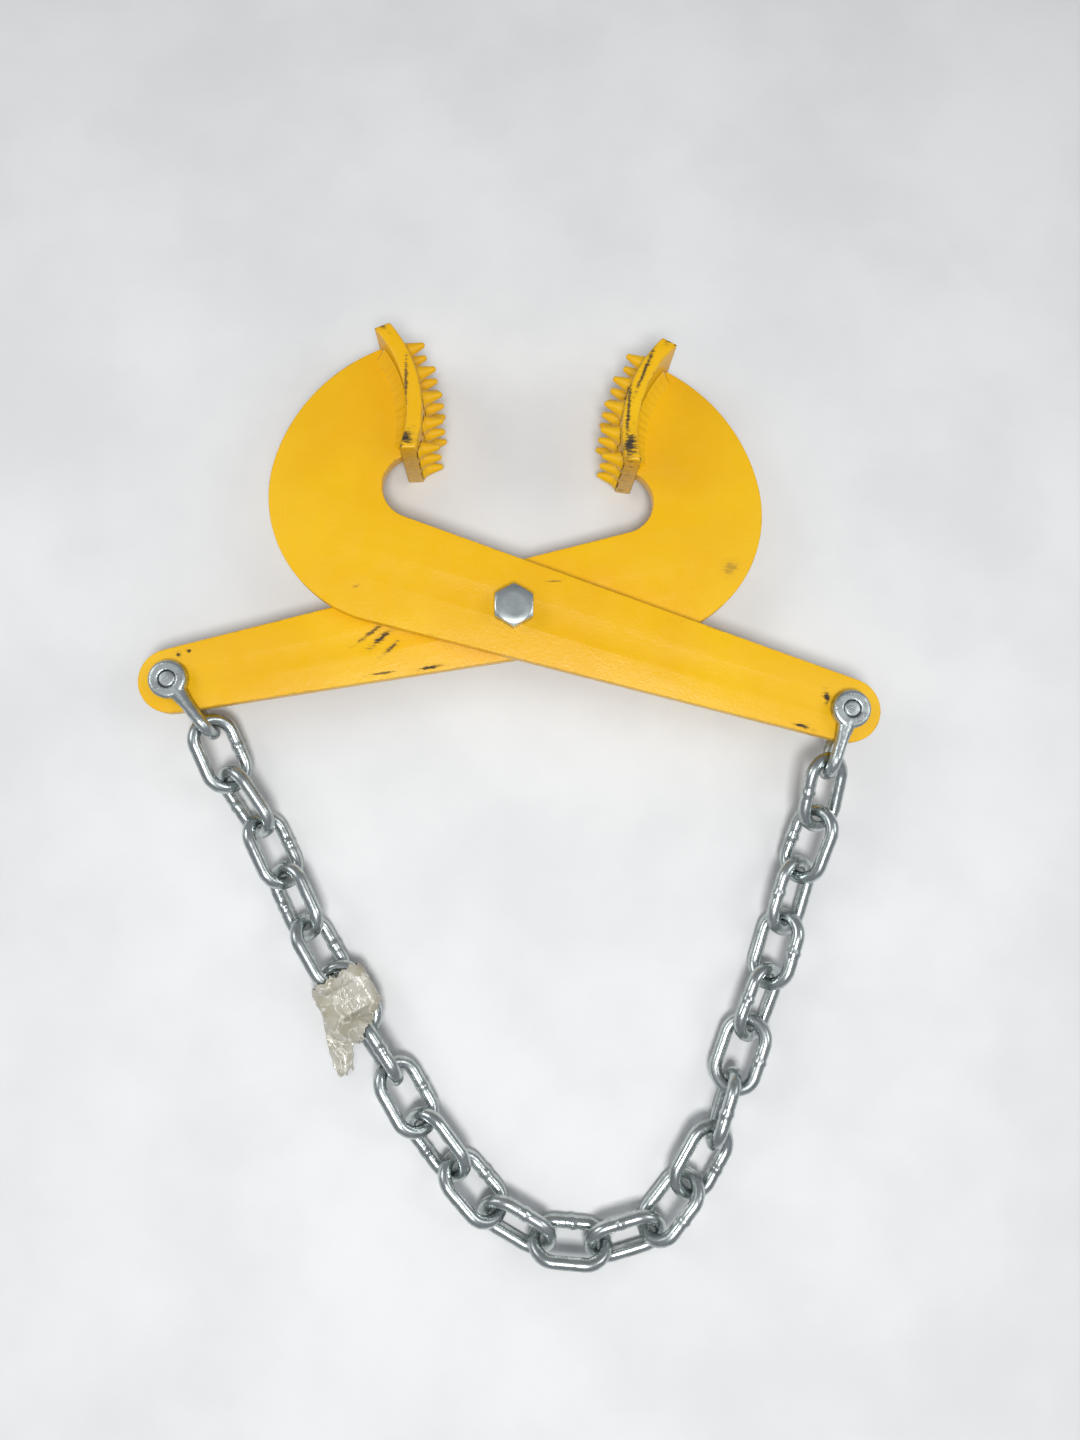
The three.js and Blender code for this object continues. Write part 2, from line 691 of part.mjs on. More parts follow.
/** A solid stretched over the wires, a distance outside them, between two places along X. */
function stretched(wires, distance, from, to, crumple) {
  const sides = 22;
  const runs = 9;
  const rings = [];
  for (let k = 0; k <= runs; k++) {
    const x = from + ((to - from) * k) / runs;
    const touched = [];
    for (let j = 0; j < sides; j++) {
      const angle = (-2 * Math.PI * j) / sides;
      const [across, rise] = [Math.cos(angle), Math.sin(angle)];
      let reach = 0;
      for (const place of wires) {
        const off = place.x - x;
        const radius = Math.sqrt(Math.max((chainWire / 2) ** 2 - off ** 2, 0));
        if (radius > 0) reach = Math.max(reach, place.y * across + place.z * rise + radius);
      }
      const fold = 1 + Math.sin(tapeFoldsAround * angle + (tapeFoldsAlong * x) / tapeLength);
      touched.push([angle, reach + distance + (crumple * fold * (1 + rise)) / 4]);
    }
    rings.push(touched.map(([angle, reach], j) => {
      const [nextAngle, nextReach] = touched[(j + 1) % sides];
      const turn = Math.sin(nextAngle - angle);
      return new THREE.Vector3(
        x,
        (reach * Math.sin(nextAngle) - nextReach * Math.sin(angle)) / turn,
        (nextReach * Math.cos(angle) - reach * Math.cos(nextAngle)) / turn,
      );
    }));
  }
  return solid(skin(rings, false));
}

/** Torn end of the tape, a waving strip that runs out along X just above z = 0. */
function tornEnd() {
  const runs = 9;
  const rings = [];
  for (let k = 0; k <= runs; k++) {
    const share = k / runs;
    const fall = tapeTailDrop * (1 - share) ** 3 + seatGap;
    const wave = tapeTailRise * Math.sin(tapeFoldsAround * share) ** 2 + fall;
    const half = (tapeTailWidth / 2) * (1 - share * share * tapeTearShare);
    const lean = tapeThickness * Math.cos(tapeFoldsAlong * share);
    const place = (y, z) => new THREE.Vector3(share * tapeTailLength, y, z);
    rings.push([
      place(-half, wave),
      place(half, wave + Math.abs(lean)),
      place(half, wave + Math.abs(lean) + tapeThickness),
      place(-half, wave + tapeThickness),
    ]);
  }
  return skin(rings, false);
}

/** Tape round the chain, with its torn end lying beside it. */
function tape(frames) {
  const wires = tapedWires(frames);
  const [low, high] = [-tapeLength / 2, tapeLength / 2];
  const over = 2 * tapeCrumple;
  const inside = stretched(wires, tapeClearance, low - over, high + over, 0);
  const slant = new THREE.Vector3(Math.cos(tapeSlant * deg), -Math.sin(tapeSlant * deg), 0);
  const outside = stretched(wires, tapeClearance + tapeThickness, low, high + over, tapeCrumple)
    .trimByPlane(slant.clone().negate().toArray(), -high);

  const middle = frames[tapedLink];
  const along = new THREE.Vector3().setFromMatrixColumn(middle, 0);
  const heading = Math.atan2(along.y, along.x);
  const centre = new THREE.Vector3().setFromMatrixPosition(middle);
  const lie = new THREE.Matrix4().multiplyMatrices(
    middle,
    new THREE.Matrix4().makeRotationX(-linkRolls[tapedLink] * deg),
  );
  const strip = tornEnd()
    .rotateZ(tapeTailHeading * deg)
    .translate(
      centre.x + tapeTailStart * Math.cos(heading) + tapeTailOffset * Math.sin(heading),
      centre.y + tapeTailStart * Math.sin(heading) - tapeTailOffset * Math.cos(heading),
      0,
    )
    .applyMatrix4(lie.clone().invert());
  const shells = outside.add(solid(strip)).subtract(inside).decompose();
  const film = shells.reduce((most, shell) => (shell.volume() > most.volume() ? shell : most));
  const wrap = piece("tape_wrap", geometryOf(film), beigeFilm);
  wrap.applyMatrix4(lie);
  return wrap;
}

// The tool

const leftTail = new THREE.Vector2(-armLength, 0).rotateAround(new THREE.Vector2(), armDroop * deg);
const rightTail = new THREE.Vector2(armLength, 0).rotateAround(new THREE.Vector2(), -armDroop * deg);

const upperArm = armAssembly("upper_arm", "left");
upperArm.position.z = middleHeight;
upperArm.rotation.z = -armDroop * deg;

const lowerArm = new THREE.Group();
const flipped = armAssembly("lower_arm", "right");
flipped.rotation.y = Math.PI;
lowerArm.add(flipped);
lowerArm.position.z = middleHeight;
lowerArm.rotation.z = armDroop * deg;

const frames = linkFrames(
  bowContact(leftTail, lowerArmTop, leftShackleHeading, contactPlays[0]),
  bowContact(rightTail, upperArmTop, rightShackleHeading, contactPlays[linkRolls.length]),
);

const puller = new THREE.Group();
puller.add(
  upperArm,
  lowerArm,
  pivotHardware(),
  shackle("left", leftTail, lowerArmTop, leftShackleHeading, leftLugTurn),
  shackle("right", rightTail, upperArmTop, rightShackleHeading, rightLugTurn),
  chain(frames),
  tape(frames),
);

const covered = new THREE.Box3().setFromObject(puller, true);
puller.position.y = -(covered.min.y + covered.max.y) / 2;
puller.position.x = -(covered.min.x + covered.max.x) / 2;

export default puller;
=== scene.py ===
"""Looks of the pallet puller: painted arms and jaws, bright shackles and chain, and tape round one link.

Sizes are in metres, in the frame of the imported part: +Z up, +Y towards the jaws.
"""

import logging
import math
from collections.abc import Callable
from dataclasses import dataclass, field
from enum import Enum
from typing import Any

import bmesh
import bpy
import numpy as np
from mathutils import Euler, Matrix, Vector
from mathutils.geometry import tessellate_polygon


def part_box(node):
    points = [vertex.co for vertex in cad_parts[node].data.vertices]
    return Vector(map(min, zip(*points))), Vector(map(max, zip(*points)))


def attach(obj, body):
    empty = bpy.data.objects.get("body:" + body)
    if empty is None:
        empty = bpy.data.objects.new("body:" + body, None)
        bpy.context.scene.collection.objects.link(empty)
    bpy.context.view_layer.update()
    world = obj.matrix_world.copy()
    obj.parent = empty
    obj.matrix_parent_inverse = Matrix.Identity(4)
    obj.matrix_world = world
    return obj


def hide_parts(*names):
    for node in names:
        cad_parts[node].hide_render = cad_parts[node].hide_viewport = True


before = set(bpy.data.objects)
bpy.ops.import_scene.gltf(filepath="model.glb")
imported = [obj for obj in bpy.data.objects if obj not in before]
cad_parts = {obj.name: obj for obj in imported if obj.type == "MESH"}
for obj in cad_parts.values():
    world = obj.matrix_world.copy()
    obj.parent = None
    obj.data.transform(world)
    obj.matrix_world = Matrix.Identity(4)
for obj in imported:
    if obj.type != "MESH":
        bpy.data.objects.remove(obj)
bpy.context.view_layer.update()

log = logging.getLogger("pallet_puller")
logging.basicConfig(level=logging.INFO, format="%(name)s: %(message)s")

Array = np.ndarray
Pair = tuple[float, float]
FULL = 2 * math.pi  # a full turn
EDGE_STEPS = 5  # points across a rounded edge
MERGE_WITHIN = 1e-6  # metres between points that are taken as one


class Side(Enum):
    """The two arms, by the jaw that each carries. The left one lies on top."""

    LEFT = "left"
    RIGHT = "right"

    @property
    def other(self) -> "Side":
        """The opposite side, on which this arm has its tail."""
        return Side.RIGHT if self is Side.LEFT else Side.LEFT


# Surfaces


def joined(x: Any, y: Any, z: Any) -> Array:
    """Places from their three coordinates, each spread to the same shape."""
    return np.stack(np.broadcast_arrays(x, y, z), axis=-1)


def circle(count: int) -> Array:
    """Angles at even steps round a full turn."""
    return np.linspace(0, FULL, count, endpoint=False)


def vertices(mesh: bpy.types.Mesh) -> Array:
    """Places of a mesh's points, one row each.

    Args:
        mesh: The mesh.

    Returns:
        The places.
    """
    places = np.empty(len(mesh.vertices) * 3)
    mesh.vertices.foreach_get("co", places)
    return places.reshape(-1, 3)


def placed(name: str, data: Any) -> bpy.types.Object:
    """A new object in the scene, at the origin.

    Args:
        name: Its name.
        data: Its mesh, lamp or camera.

    Returns:
        The new object.
    """
    made = bpy.data.objects.new(name, data)
    bpy.context.scene.collection.objects.link(made)
    return made


class Surface:
    """Points and faces of one piece, gathered patch by patch."""

    def __init__(self) -> None:
        """Starts with nothing."""
        self.points: list[Array] = []
        self.faces: list[tuple[Array, bool]] = []
        self.count = 0

    def add(self, points: Array, faces: Array, smooth: bool = True) -> None:
        """Adds a patch.

        Args:
            points: Places, one row each.
            faces: Corners of the faces, counted from the patch's first point.
            smooth: Whether the patch is shaded as a curved surface.
        """
        self.points.append(np.asarray(points, float).reshape(-1, 3))
        self.faces.append((np.asarray(faces, int) + self.count, smooth))
        self.count += len(self.points[-1])

    def grid(self, rows: Array, around: bool = True, along: bool = False) -> None:
        """Adds a patch whose point (i, j) joins (i + 1, j) and (i, j + 1).

        Args:
            rows: Places in rows and columns, shape (m, n, 3).
            around: Whether each row closes on itself.
            along: Whether the last row joins the first.
        """
        m, n = rows.shape[:2]
        i = np.arange(m if along else m - 1)[:, None]
        j = np.arange(n if around else n - 1)[None, :]
        i2, j2 = (i + 1) % m, (j + 1) % n
        quads = np.stack([i * n + j, i * n + j2, i2 * n + j2, i2 * n + j], axis=-1)
        self.add(rows.reshape(-1, 3), quads.reshape(-1, 4))

    def cap(self, rows: Array) -> None:
        """Closes both ends of a grid whose rows close on themselves."""
        for row in (rows[0], rows[-1]):
            self.add(row, np.arange(len(row))[None])

    def moved(self, move: "Placing") -> None:
        """Carries every point so far to where the piece lies."""
        self.points = [move.carry(points) for points in self.points]

    def build(self, name: str, crease: float = 32.0) -> bpy.types.Object:
        """Makes the piece: merges doubled points, turns faces outwards and sets the creases.

        Args:
            name: The piece's name.
            crease: Least angle, in degrees, at which an edge is shaded sharp.

        Returns:
            The new object, at the origin.
        """
        mesh = bpy.data.meshes.new(name)
        faces = [face for block, _ in self.faces for face in block.tolist()]
        smooth = np.concatenate([np.full(len(block), on) for block, on in self.faces])
        mesh.from_pydata(np.concatenate(self.points).tolist(), [], faces)
        mesh.polygons.foreach_set("use_smooth", smooth)
        work = bmesh.new()
        work.from_mesh(mesh)
        bmesh.ops.remove_doubles(work, verts=work.verts, dist=MERGE_WITHIN)
        bmesh.ops.recalc_face_normals(work, faces=work.faces)
        work.to_mesh(mesh)
        work.free()
        mesh.set_sharp_from_angle(angle=math.radians(crease))
        return placed(name, mesh)


@dataclass(frozen=True)
class Placing:
    """Where a sub-assembly lies: turned about Z, then half a turn about Y if flipped, then moved."""

    turn: float = 0.0
    move: tuple[float, float, float] = (0.0, 0.0, 0.0)
    flipped: bool = False

    def carry(self, points: Array) -> Array:
        """The points (c x - s y, s x + c y, z), with X and Z negated if flipped, plus the move.

        Args:
            points: Places in the sub-assembly's own frame, x, y and z along their last axis.

        Returns:
            The places in the part's frame.
        """
        x, y, z = points[..., 0], points[..., 1], points[..., 2]
        c, s = math.cos(self.turn), math.sin(self.turn)
        x, y = c * x - s * y, s * x + c * y
        sign = -1.0 if self.flipped else 1.0
        return joined(sign * x, y, sign * z) + np.array(self.move)


def arc(centre: Pair, radius: float, start: float, end: float, step: float = 0.0016) -> Array:
    """Points of a circle's arc, about one step apart: centre + radius (cos a, sin a).

    Args:
        centre: Middle of the circle.
        radius: Its radius.
        start: First angle.
        end: Last angle, below the first for a clockwise arc.
        step: Distance between points.

    Returns:
        The points, both ends included.
    """
    count = max(4, int(abs(end - start) * radius / step))
    angle = np.linspace(start, end, count)
    return np.stack([centre[0] + radius * np.cos(angle), centre[1] + radius * np.sin(angle)], axis=1)


def bell(x: Array, width: float) -> Array:
    """A swelling exp(-(x / w)^2): 1 at nought, and gone a few widths away."""
    return np.exp(-((x / width) ** 2))


def softened(loop: Array, corners: list[int], radius: float) -> Array:
    """A loop whose sharp corners are cut by short curves.

    Each corner P, with unit directions u and v to its neighbours, becomes the curve
    (1 - t)^2 (P + r u) + 2 t (1 - t) P + t^2 (P + r v) for t from 0 to 1.

    Args:
        loop: Points of a closed outline.
        corners: Which of them are corners.
        radius: How far from its corner each curve starts.

    Returns:
        The points of the softened outline.
    """
    t = np.linspace(0, 1, EDGE_STEPS)[:, None]
    pieces = []
    for k, point in enumerate(loop):
        if k not in corners:
            pieces.append(point[None])
            continue
        u = loop[k - 1] - point
        v = loop[(k + 1) % len(loop)] - point
        first = point + radius * u / np.linalg.norm(u)
        last = point + radius * v / np.linalg.norm(v)
        pieces.append((1 - t) ** 2 * first + 2 * t * (1 - t) * point + t**2 * last)
    return np.concatenate(pieces)


def outward(loop: Array) -> Array:
    """Mitred normals of a closed loop, pointing to the right of its run.

    With n1 and n2 the normals of the two edges at a point, the mitre is (n1 + n2) / (1 + n1 . n2).

    Args:
        loop: Points of a closed outline.

    Returns:
        One normal for each point.
    """
    edge = np.roll(loop, -1, axis=0) - loop
    edge /= np.linalg.norm(edge, axis=1, keepdims=True)
    normal = np.stack([edge[:, 1], -edge[:, 0]], axis=1)
    before = np.roll(normal, 1, axis=0)
    return (normal + before) / (1 + np.sum(normal * before, axis=1, keepdims=True))


def plate(surface: Surface, loops: list[Array], low: float, high: float, edge: float) -> None:
    """Adds a flat plate with rounded edges.

    The rim of each loop goes round a quarter circle at both faces: inset e (1 - cos a) and height
    e (1 - sin a) below the face, for a from 0 to 90 degrees.

    Args:
        surface: Gathers the patches.
        loops: The outline, anticlockwise, then the holes, clockwise.
        low: Height of the lower face.
        high: Height of the upper face.
        edge: Radius of the edges.
    """
    angle = np.linspace(0, math.pi / 2, EDGE_STEPS)
    inset, fall = edge * (1 - np.cos(angle)), edge * (1 - np.sin(angle))
    inset = np.concatenate([inset[::-1], inset])
    height = np.concatenate([low + fall[::-1], high - fall])
    rings = []
    for loop in loops:
        flat = loop - inset[:, None, None] * outward(loop)
        rows = joined(flat[..., 0], flat[..., 1], height[:, None])
        surface.grid(rows)
        rings.append(rows)
    for row in (0, -1):
        caps = [ring[row] for ring in rings]
        faces = tessellate_polygon([cap.tolist() for cap in caps])
        surface.add(np.concatenate(caps), np.array(faces), smooth=False)


def turned(surface: Surface, profile: Array, sides: int = 64, axis: Array | None = None) -> None:
    """Adds a surface of revolution: (r cos a, r sin a, h) for each (r, h) of the profile.

    Args:
        surface: Gathers the patch.
        profile: Radius and height of each ring.
        sides: Steps round the axis.
        axis: A 3 by 4 frame, its columns X, Y, Z and the origin, or None to leave the shape as it is.
    """
    angle = circle(sides)
    r, h = profile[:, :1], profile[:, 1:]
    rows = joined(r * np.cos(angle), r * np.sin(angle), h)
    if axis is not None:
        rows = rows @ axis[:, :3].T + axis[:, 3]
    surface.grid(rows)


def waves(x: Array, y: Array, seed: int, count: int = 9, low: float = 1.0, high: float = 4.0) -> Array:
    """Smooth uneven swell between about -1 and 1: twice the mean of sines of random slant and phase.

    Args:
        x: First coordinate.
        y: Second coordinate.
        seed: Picks the sines.
        count: How many sines are added.
        low: Least rate, in radians per unit.
        high: Greatest rate.

    Returns:
        The swell at each point.
    """
    pick = np.random.default_rng(seed)
    rate = pick.uniform(low, high, (2, count)) * pick.choice([-1, 1], (2, count))
    phase = pick.uniform(0, FULL, count)
    return np.sin(x[..., None] * rate[0] + y[..., None] * rate[1] + phase).mean(axis=-1) * 2


def ridges(swell: Array, power: int) -> Array:
    """Sharp ridges along the lines where a swell w is nought: (1 - |w|)^power."""
    return (1 - np.abs(np.clip(swell, -1, 1))) ** power


# Shaders


def operator(operation: str, flipped: bool = False) -> Callable[..., "Value"]:
    """A method of Value that adds a Math node, its values in the other order if flipped.

    Args:
        operation: The node's operation.
        flipped: Whether the other value comes first.

    Returns:
        The method.
    """

    def method(self: "Value", *other: Any) -> "Value":
        """A Math node on this value and perhaps another.

        Args:
            other: The second value, if the operation takes one.

        Returns:
            The result.
        """
        values = (*other, self) if flipped else (self, *other)
        made = self.sheet.node("ShaderNodeMath", {"operation": operation}, dict(enumerate(values)))
        return Value(self.sheet, made.outputs[0])

    return method


class Value:
    """A socket, on which arithmetic adds Math nodes."""

    __add__ = __radd__ = operator("ADD")
    __sub__ = operator("SUBTRACT")
    __rsub__ = operator("SUBTRACT", flipped=True)
    __mul__ = __rmul__ = operator("MULTIPLY")
    __truediv__ = operator("DIVIDE")
    __pow__ = operator("POWER")
    most = operator("MAXIMUM")
    size = operator("ABSOLUTE")

    def __init__(self, sheet: "Sheet", socket: bpy.types.NodeSocket) -> None:
        """Keeps the sheet and the socket."""
        self.sheet = sheet
        self.socket = socket

    def step(self, low: float, high: float, start: float = 0.0, end: float = 1.0) -> "Value":
        """Rises smoothly from start at low to end at high.

        Args:
            low: Where it starts to rise.
            high: Where it stops.
            start: Result up to low.
            end: Result from high on.

        Returns:
            The eased value.
        """
        made = self.sheet.node(
            "ShaderNodeMapRange",
            {"interpolation_type": "SMOOTHSTEP"},
            {"Value": self, "From Min": low, "From Max": high, "To Min": start, "To Max": end},
        )
        return Value(self.sheet, made.outputs[0])


class Sheet:
    """A material's node tree round one Principled shader."""

    def __init__(self, name: str) -> None:
        """Makes the material with its shader and its Object coordinates.

        Args:
            name: The material's name.
        """
        self.material = bpy.data.materials.new(name)
        self.material.use_nodes = True
        self.tree = self.material.node_tree
        self.shader = self.tree.nodes["Principled BSDF"]
        self.place = self.node("ShaderNodeTexCoord").outputs["Object"]

    def node(self, kind: str, settings: dict | None = None, inputs: dict | None = None) -> bpy.types.Node:
        """Any node.

        Args:
            kind: Its type.
            settings: Its properties, set first.
            inputs: A number, colour, socket or Value for each socket, by name or place.

        Returns:
            The node.
        """
        made = self.tree.nodes.new(kind)
        for key, setting in (settings or {}).items():
            setattr(made, key, setting)
        for key, given in (inputs or {}).items():
            self.feed(made.inputs[key], given)
        return made

    def feed(self, socket: bpy.types.NodeSocket, given: Any) -> None:
        """Links a socket or a Value to a socket, or sets the socket's constant.

        Args:
            socket: The socket to feed.
            given: What it gets.
        """
        if isinstance(given, Value):
            given = given.socket
        if isinstance(given, bpy.types.NodeSocket):
            self.tree.links.new(given, socket)
        else:
            socket.default_value = given

    def mapped(self, scale: tuple[float, float, float], turn: float = 0.0) -> bpy.types.NodeSocket:
        """Object coordinates, turned about Z and stretched."""
        inputs = {"Vector": self.place, "Scale": scale, "Rotation": (0.0, 0.0, turn)}
        return self.node("ShaderNodeMapping", {}, inputs).outputs[0]

    def noise(self, scale: float, detail: float = 3.0, rough: float = 0.55, where: Any = None) -> Value:
        """Noise from 0 to 1, so many features to the metre."""
        inputs = {"Vector": where or self.place, "Scale": scale, "Detail": detail, "Roughness": rough}
        return Value(self, self.node("ShaderNodeTexNoise", {}, inputs).outputs["Fac"])

    def axis(self, name: str) -> Value:
        """One of the Object coordinates X, Y and Z."""
        parts = self.node("ShaderNodeSeparateXYZ", {}, {0: self.place})
        return Value(self, parts.outputs[name])

    def rim(self, radius: float) -> Value:
        """How near a sharp edge is: 1 less the dot product of the rounded and the true normal.

        Args:
            radius: How far from an edge the rounding reaches.

        Returns:
            0 on a flat and more near an edge.
        """
        soft = self.node("ShaderNodeBevel", {"samples": 4}, {"Radius": radius}).outputs[0]
        true = self.node("ShaderNodeNewGeometry").outputs["Normal"]
        product = self.node("ShaderNodeVectorMath", {"operation": "DOT_PRODUCT"}, {0: soft, 1: true})
        return 1.0 - Value(self, product.outputs["Value"])

    def mix(self, share: Any, first: Any, second: Any) -> bpy.types.NodeSocket:
        """A colour between two others."""
        made = self.node("ShaderNodeMix", {"data_type": "RGBA"}, {0: share, 6: first, 7: second})
        return made.outputs[2]

    def bump(self, height: Value, depth: float) -> None:
        """Roughens the surface by a height from 0 to 1 of that depth."""
        made = self.node("ShaderNodeBump", {}, {"Height": height, "Distance": depth, "Strength": 1.0})
        self.feed(self.shader.inputs["Normal"], made.outputs[0])

    def finish(self, **inputs: Any) -> bpy.types.Material:
        """Feeds the shader, its sockets named with underscores for blanks.

        Args:
            inputs: What each socket gets.

        Returns:
            The finished material.
        """
        for key, given in inputs.items():
            self.feed(self.shader.inputs[key.replace("_", " ")], given)
        return self.material


def tint(red: int, green: int, blue: int) -> tuple[float, float, float, float]:
    """A colour given as it shows on a screen, from 0 to 255, as linear light.

    Args:
        red: How much red it shows.
        green: How much green.
        blue: How much blue.

    Returns:
        Red, green and blue light from 0 to 1, and an alpha of 1.
    """
    shown = np.array([red, green, blue]) / 255
    linear = np.where(shown <= 0.04045, shown / 12.92, ((shown + 0.055) / 1.055) ** 2.4)
    return (*linear.tolist(), 1.0)


@dataclass(frozen=True)
class Scuff:
    """A rubbed or chipped patch, an ellipse seen from above with ragged edges."""

    x: float
    y: float
    length: float
    width: float
    turn: float = 0.0
    strength: float = 1.0


@dataclass(frozen=True)
class YellowPaint:
    """Thick enamel on rough steel, chipped along its edges and scuffed where it was dragged."""

    name: str
    scuffs: tuple[Scuff, ...] = ()
    chips: float = 0.5
    face: tuple = tint(230, 180, 0)
    shade: tuple = tint(225, 170, 0)
    steel: tuple = tint(52, 44, 34)
    rub: tuple = tint(118, 88, 26)
    edge_width: float = 0.0022
    depth: float = 0.00045

    def material(self) -> bpy.types.Material:
        """The paint.

        The chips are where an edge is near and a noise is high. A scuff is where the distance
        sqrt((u / length)^2 + (v / width)^2) from its middle, made uneven by noise, is below 1.

        Returns:
            The finished material.
        """
        sheet = Sheet(self.name)
        broad = sheet.noise(9.0, 2.0)
        fine = sheet.noise(420.0, 4.0, 0.6)
        grit = sheet.noise(1500.0, 2.0)
        edge = sheet.rim(self.edge_width).step(0.01, 0.16)
        worn = (sheet.noise(150.0, 5.0, 0.7) + edge * 0.24 - (1.0 - self.chips) * 0.3).step(0.60, 0.635)
        chip = worn * edge.step(0.05, 0.4)
        soil = (sheet.noise(26.0, 6.0, 0.75) * sheet.noise(800.0, 2.0)).step(0.40, 0.47) * 0.35
        for scuff in self.scuffs:
            mask = self._patch(sheet, scuff)
            chip = chip.most(mask * scuff.strength)
            soil = soil.most(self._patch(sheet, scuff, 1.8) * 0.3 * scuff.strength)
        colour = sheet.mix(broad.step(0.35, 0.7), self.face, self.shade)
        colour = sheet.mix(soil, colour, self.rub)
        colour = sheet.mix(chip, colour, self.steel)
        sheet.bump(fine * 0.5 + grit * 0.12 + sheet.noise(60.0, 3.0) * 0.8 - chip * 0.7, self.depth)
        return sheet.finish(
            Base_Color=colour,
            Roughness=sheet.noise(70.0, 4.0).step(0.3, 0.75, 0.30, 0.46) + chip * 0.25,
            Specular_IOR_Level=0.35,
            Coat_Weight=0.12,
            Coat_Roughness=0.22,
        )

    @staticmethod
    def _patch(sheet: Sheet, scuff: Scuff, grown: float = 1.0) -> Value:
        """Mask of one scuff, drawn out along its length.

        Args:
            sheet: The paint's sheet.
            scuff: The scuff.
            grown: Factor on its length and width.

        Returns:
            1 inside the scuff and 0 outside.
        """
        c, s = math.cos(scuff.turn), math.sin(scuff.turn)
        dx, dy = sheet.axis("X") - scuff.x, sheet.axis("Y") - scuff.y
        along = (dx * c + dy * s) / (scuff.length * grown)
        across = (dy * c - dx * s) / (scuff.width * grown)
        apart = (along * along + across * across) ** 0.5
        streak = sheet.mapped((90.0, 700.0, 300.0), scuff.turn)
        ragged = sheet.noise(1.0, 4.0, 0.7, streak) * 1.5 + sheet.noise(260.0, 4.0, 0.7) * 0.9
        return (apart + ragged).step(1.75, 1.35)


@dataclass(frozen=True)
class BrightZinc:
    """Zinc on forged, drawn or turned steel, cloudy and a little streaked."""

    name: str
    light: tuple = tint(196, 203, 202)
    dark: tuple = tint(140, 148, 148)
    smooth: float = 0.2
    rough: float = 0.46
    worn: tuple = tint(226, 230, 231)
    edge_width: float = 0.0012
    dent: float = 0.00007
    grain: tuple[float, float, float] = (1.0, 1.0, 1.0)

    def material(self) -> bpy.types.Material:
        """The plating: cloudy colour, roughness in patches, shallow dents and scratches.

        Returns:
            The finished material.
        """
        sheet = Sheet(self.name)
        cloud = sheet.noise(95.0, 4.0, 0.6)
        streak = sheet.noise(160.0, 5.0, 0.7, sheet.mapped(self.grain))
        spots = sheet.noise(700.0, 3.0, 0.6)
        dull = (cloud * 0.6 + streak * 0.4 + spots * 0.1).step(0.42, 0.78)
        edge = sheet.rim(self.edge_width).step(0.03, 0.3)
        colour = sheet.mix(dull, self.light, self.dark)
        colour = sheet.mix(edge * 0.4, colour, self.worn)
        sheet.bump(cloud * 0.8 + spots * 0.22 + streak * 0.35, self.dent)
        return sheet.finish(
            Base_Color=colour,
            Metallic=1.0,
            Roughness=dull * (self.rough - self.smooth) + self.smooth,
        )


@dataclass(frozen=True)
class PackingTape:
    """Layers of clouded film, brownish and glossy, thin enough to show what lies under it."""

    name: str
    pale: tuple = tint(196, 193, 180)
    brown: tuple = tint(168, 162, 142)
    white: tuple = tint(232, 229, 220)
    depth: float = 0.0005

    def material(self) -> bpy.types.Material:
        """The film: more solid on its folds, with fine creases.

        Returns:
            The finished material.
        """
        sheet = Sheet(self.name)
        fold = sheet.noise(70.0, 3.0, 0.5)
        crease = (fold - 0.5).size().step(0.0, 0.05, 1.0, 0.0)
        cloud = sheet.noise(45.0, 3.0)
        colour = sheet.mix(cloud.step(0.4, 0.65), self.pale, self.brown)
        colour = sheet.mix(crease * 0.5, colour, self.white)
        sheet.bump(crease * 0.4 + fold * 1.2 + sheet.noise(600.0, 3.0) * 0.05, self.depth)
        return sheet.finish(
            Base_Color=colour,
            Roughness=cloud.step(0.3, 0.7, 0.16, 0.34),
            Alpha=cloud.step(0.3, 0.7, 0.72, 0.9) + crease * 0.08,
            Coat_Weight=0.3,
            Coat_Roughness=0.1,
        )


@dataclass(frozen=True)
class PaleFloor:
    """Plain pale floor with a faint mottle."""

    name: str = "pale_floor"
    light: tuple = tint(222, 223, 222)
    dark: tuple = tint(212, 213, 213)

    def material(self) -> bpy.types.Material:
        """The floor's material.

        Returns:
            The finished material.
        """
        sheet = Sheet(self.name)
        colour = sheet.mix(sheet.noise(6.0, 4.0).step(0.3, 0.7), self.light, self.dark)
        return sheet.finish(Base_Color=colour, Roughness=0.85)


def dress(piece: bpy.types.Object, body: str, node: str, material: bpy.types.Material) -> None:
    """Gives a piece its material and its body, hides the solid that it stands for, and reports it.

    Args:
        piece: The piece.
        body: The body that it moves with.
        node: The solid that it stands for.
        material: Its finish.
    """
    piece.data.materials.clear()
    piece.data.materials.append(material)
    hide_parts(node)
    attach(piece, body)
    log.info("%s: %d faces on %s", piece.name, len(piece.data.polygons), body)


# Sub-assemblies


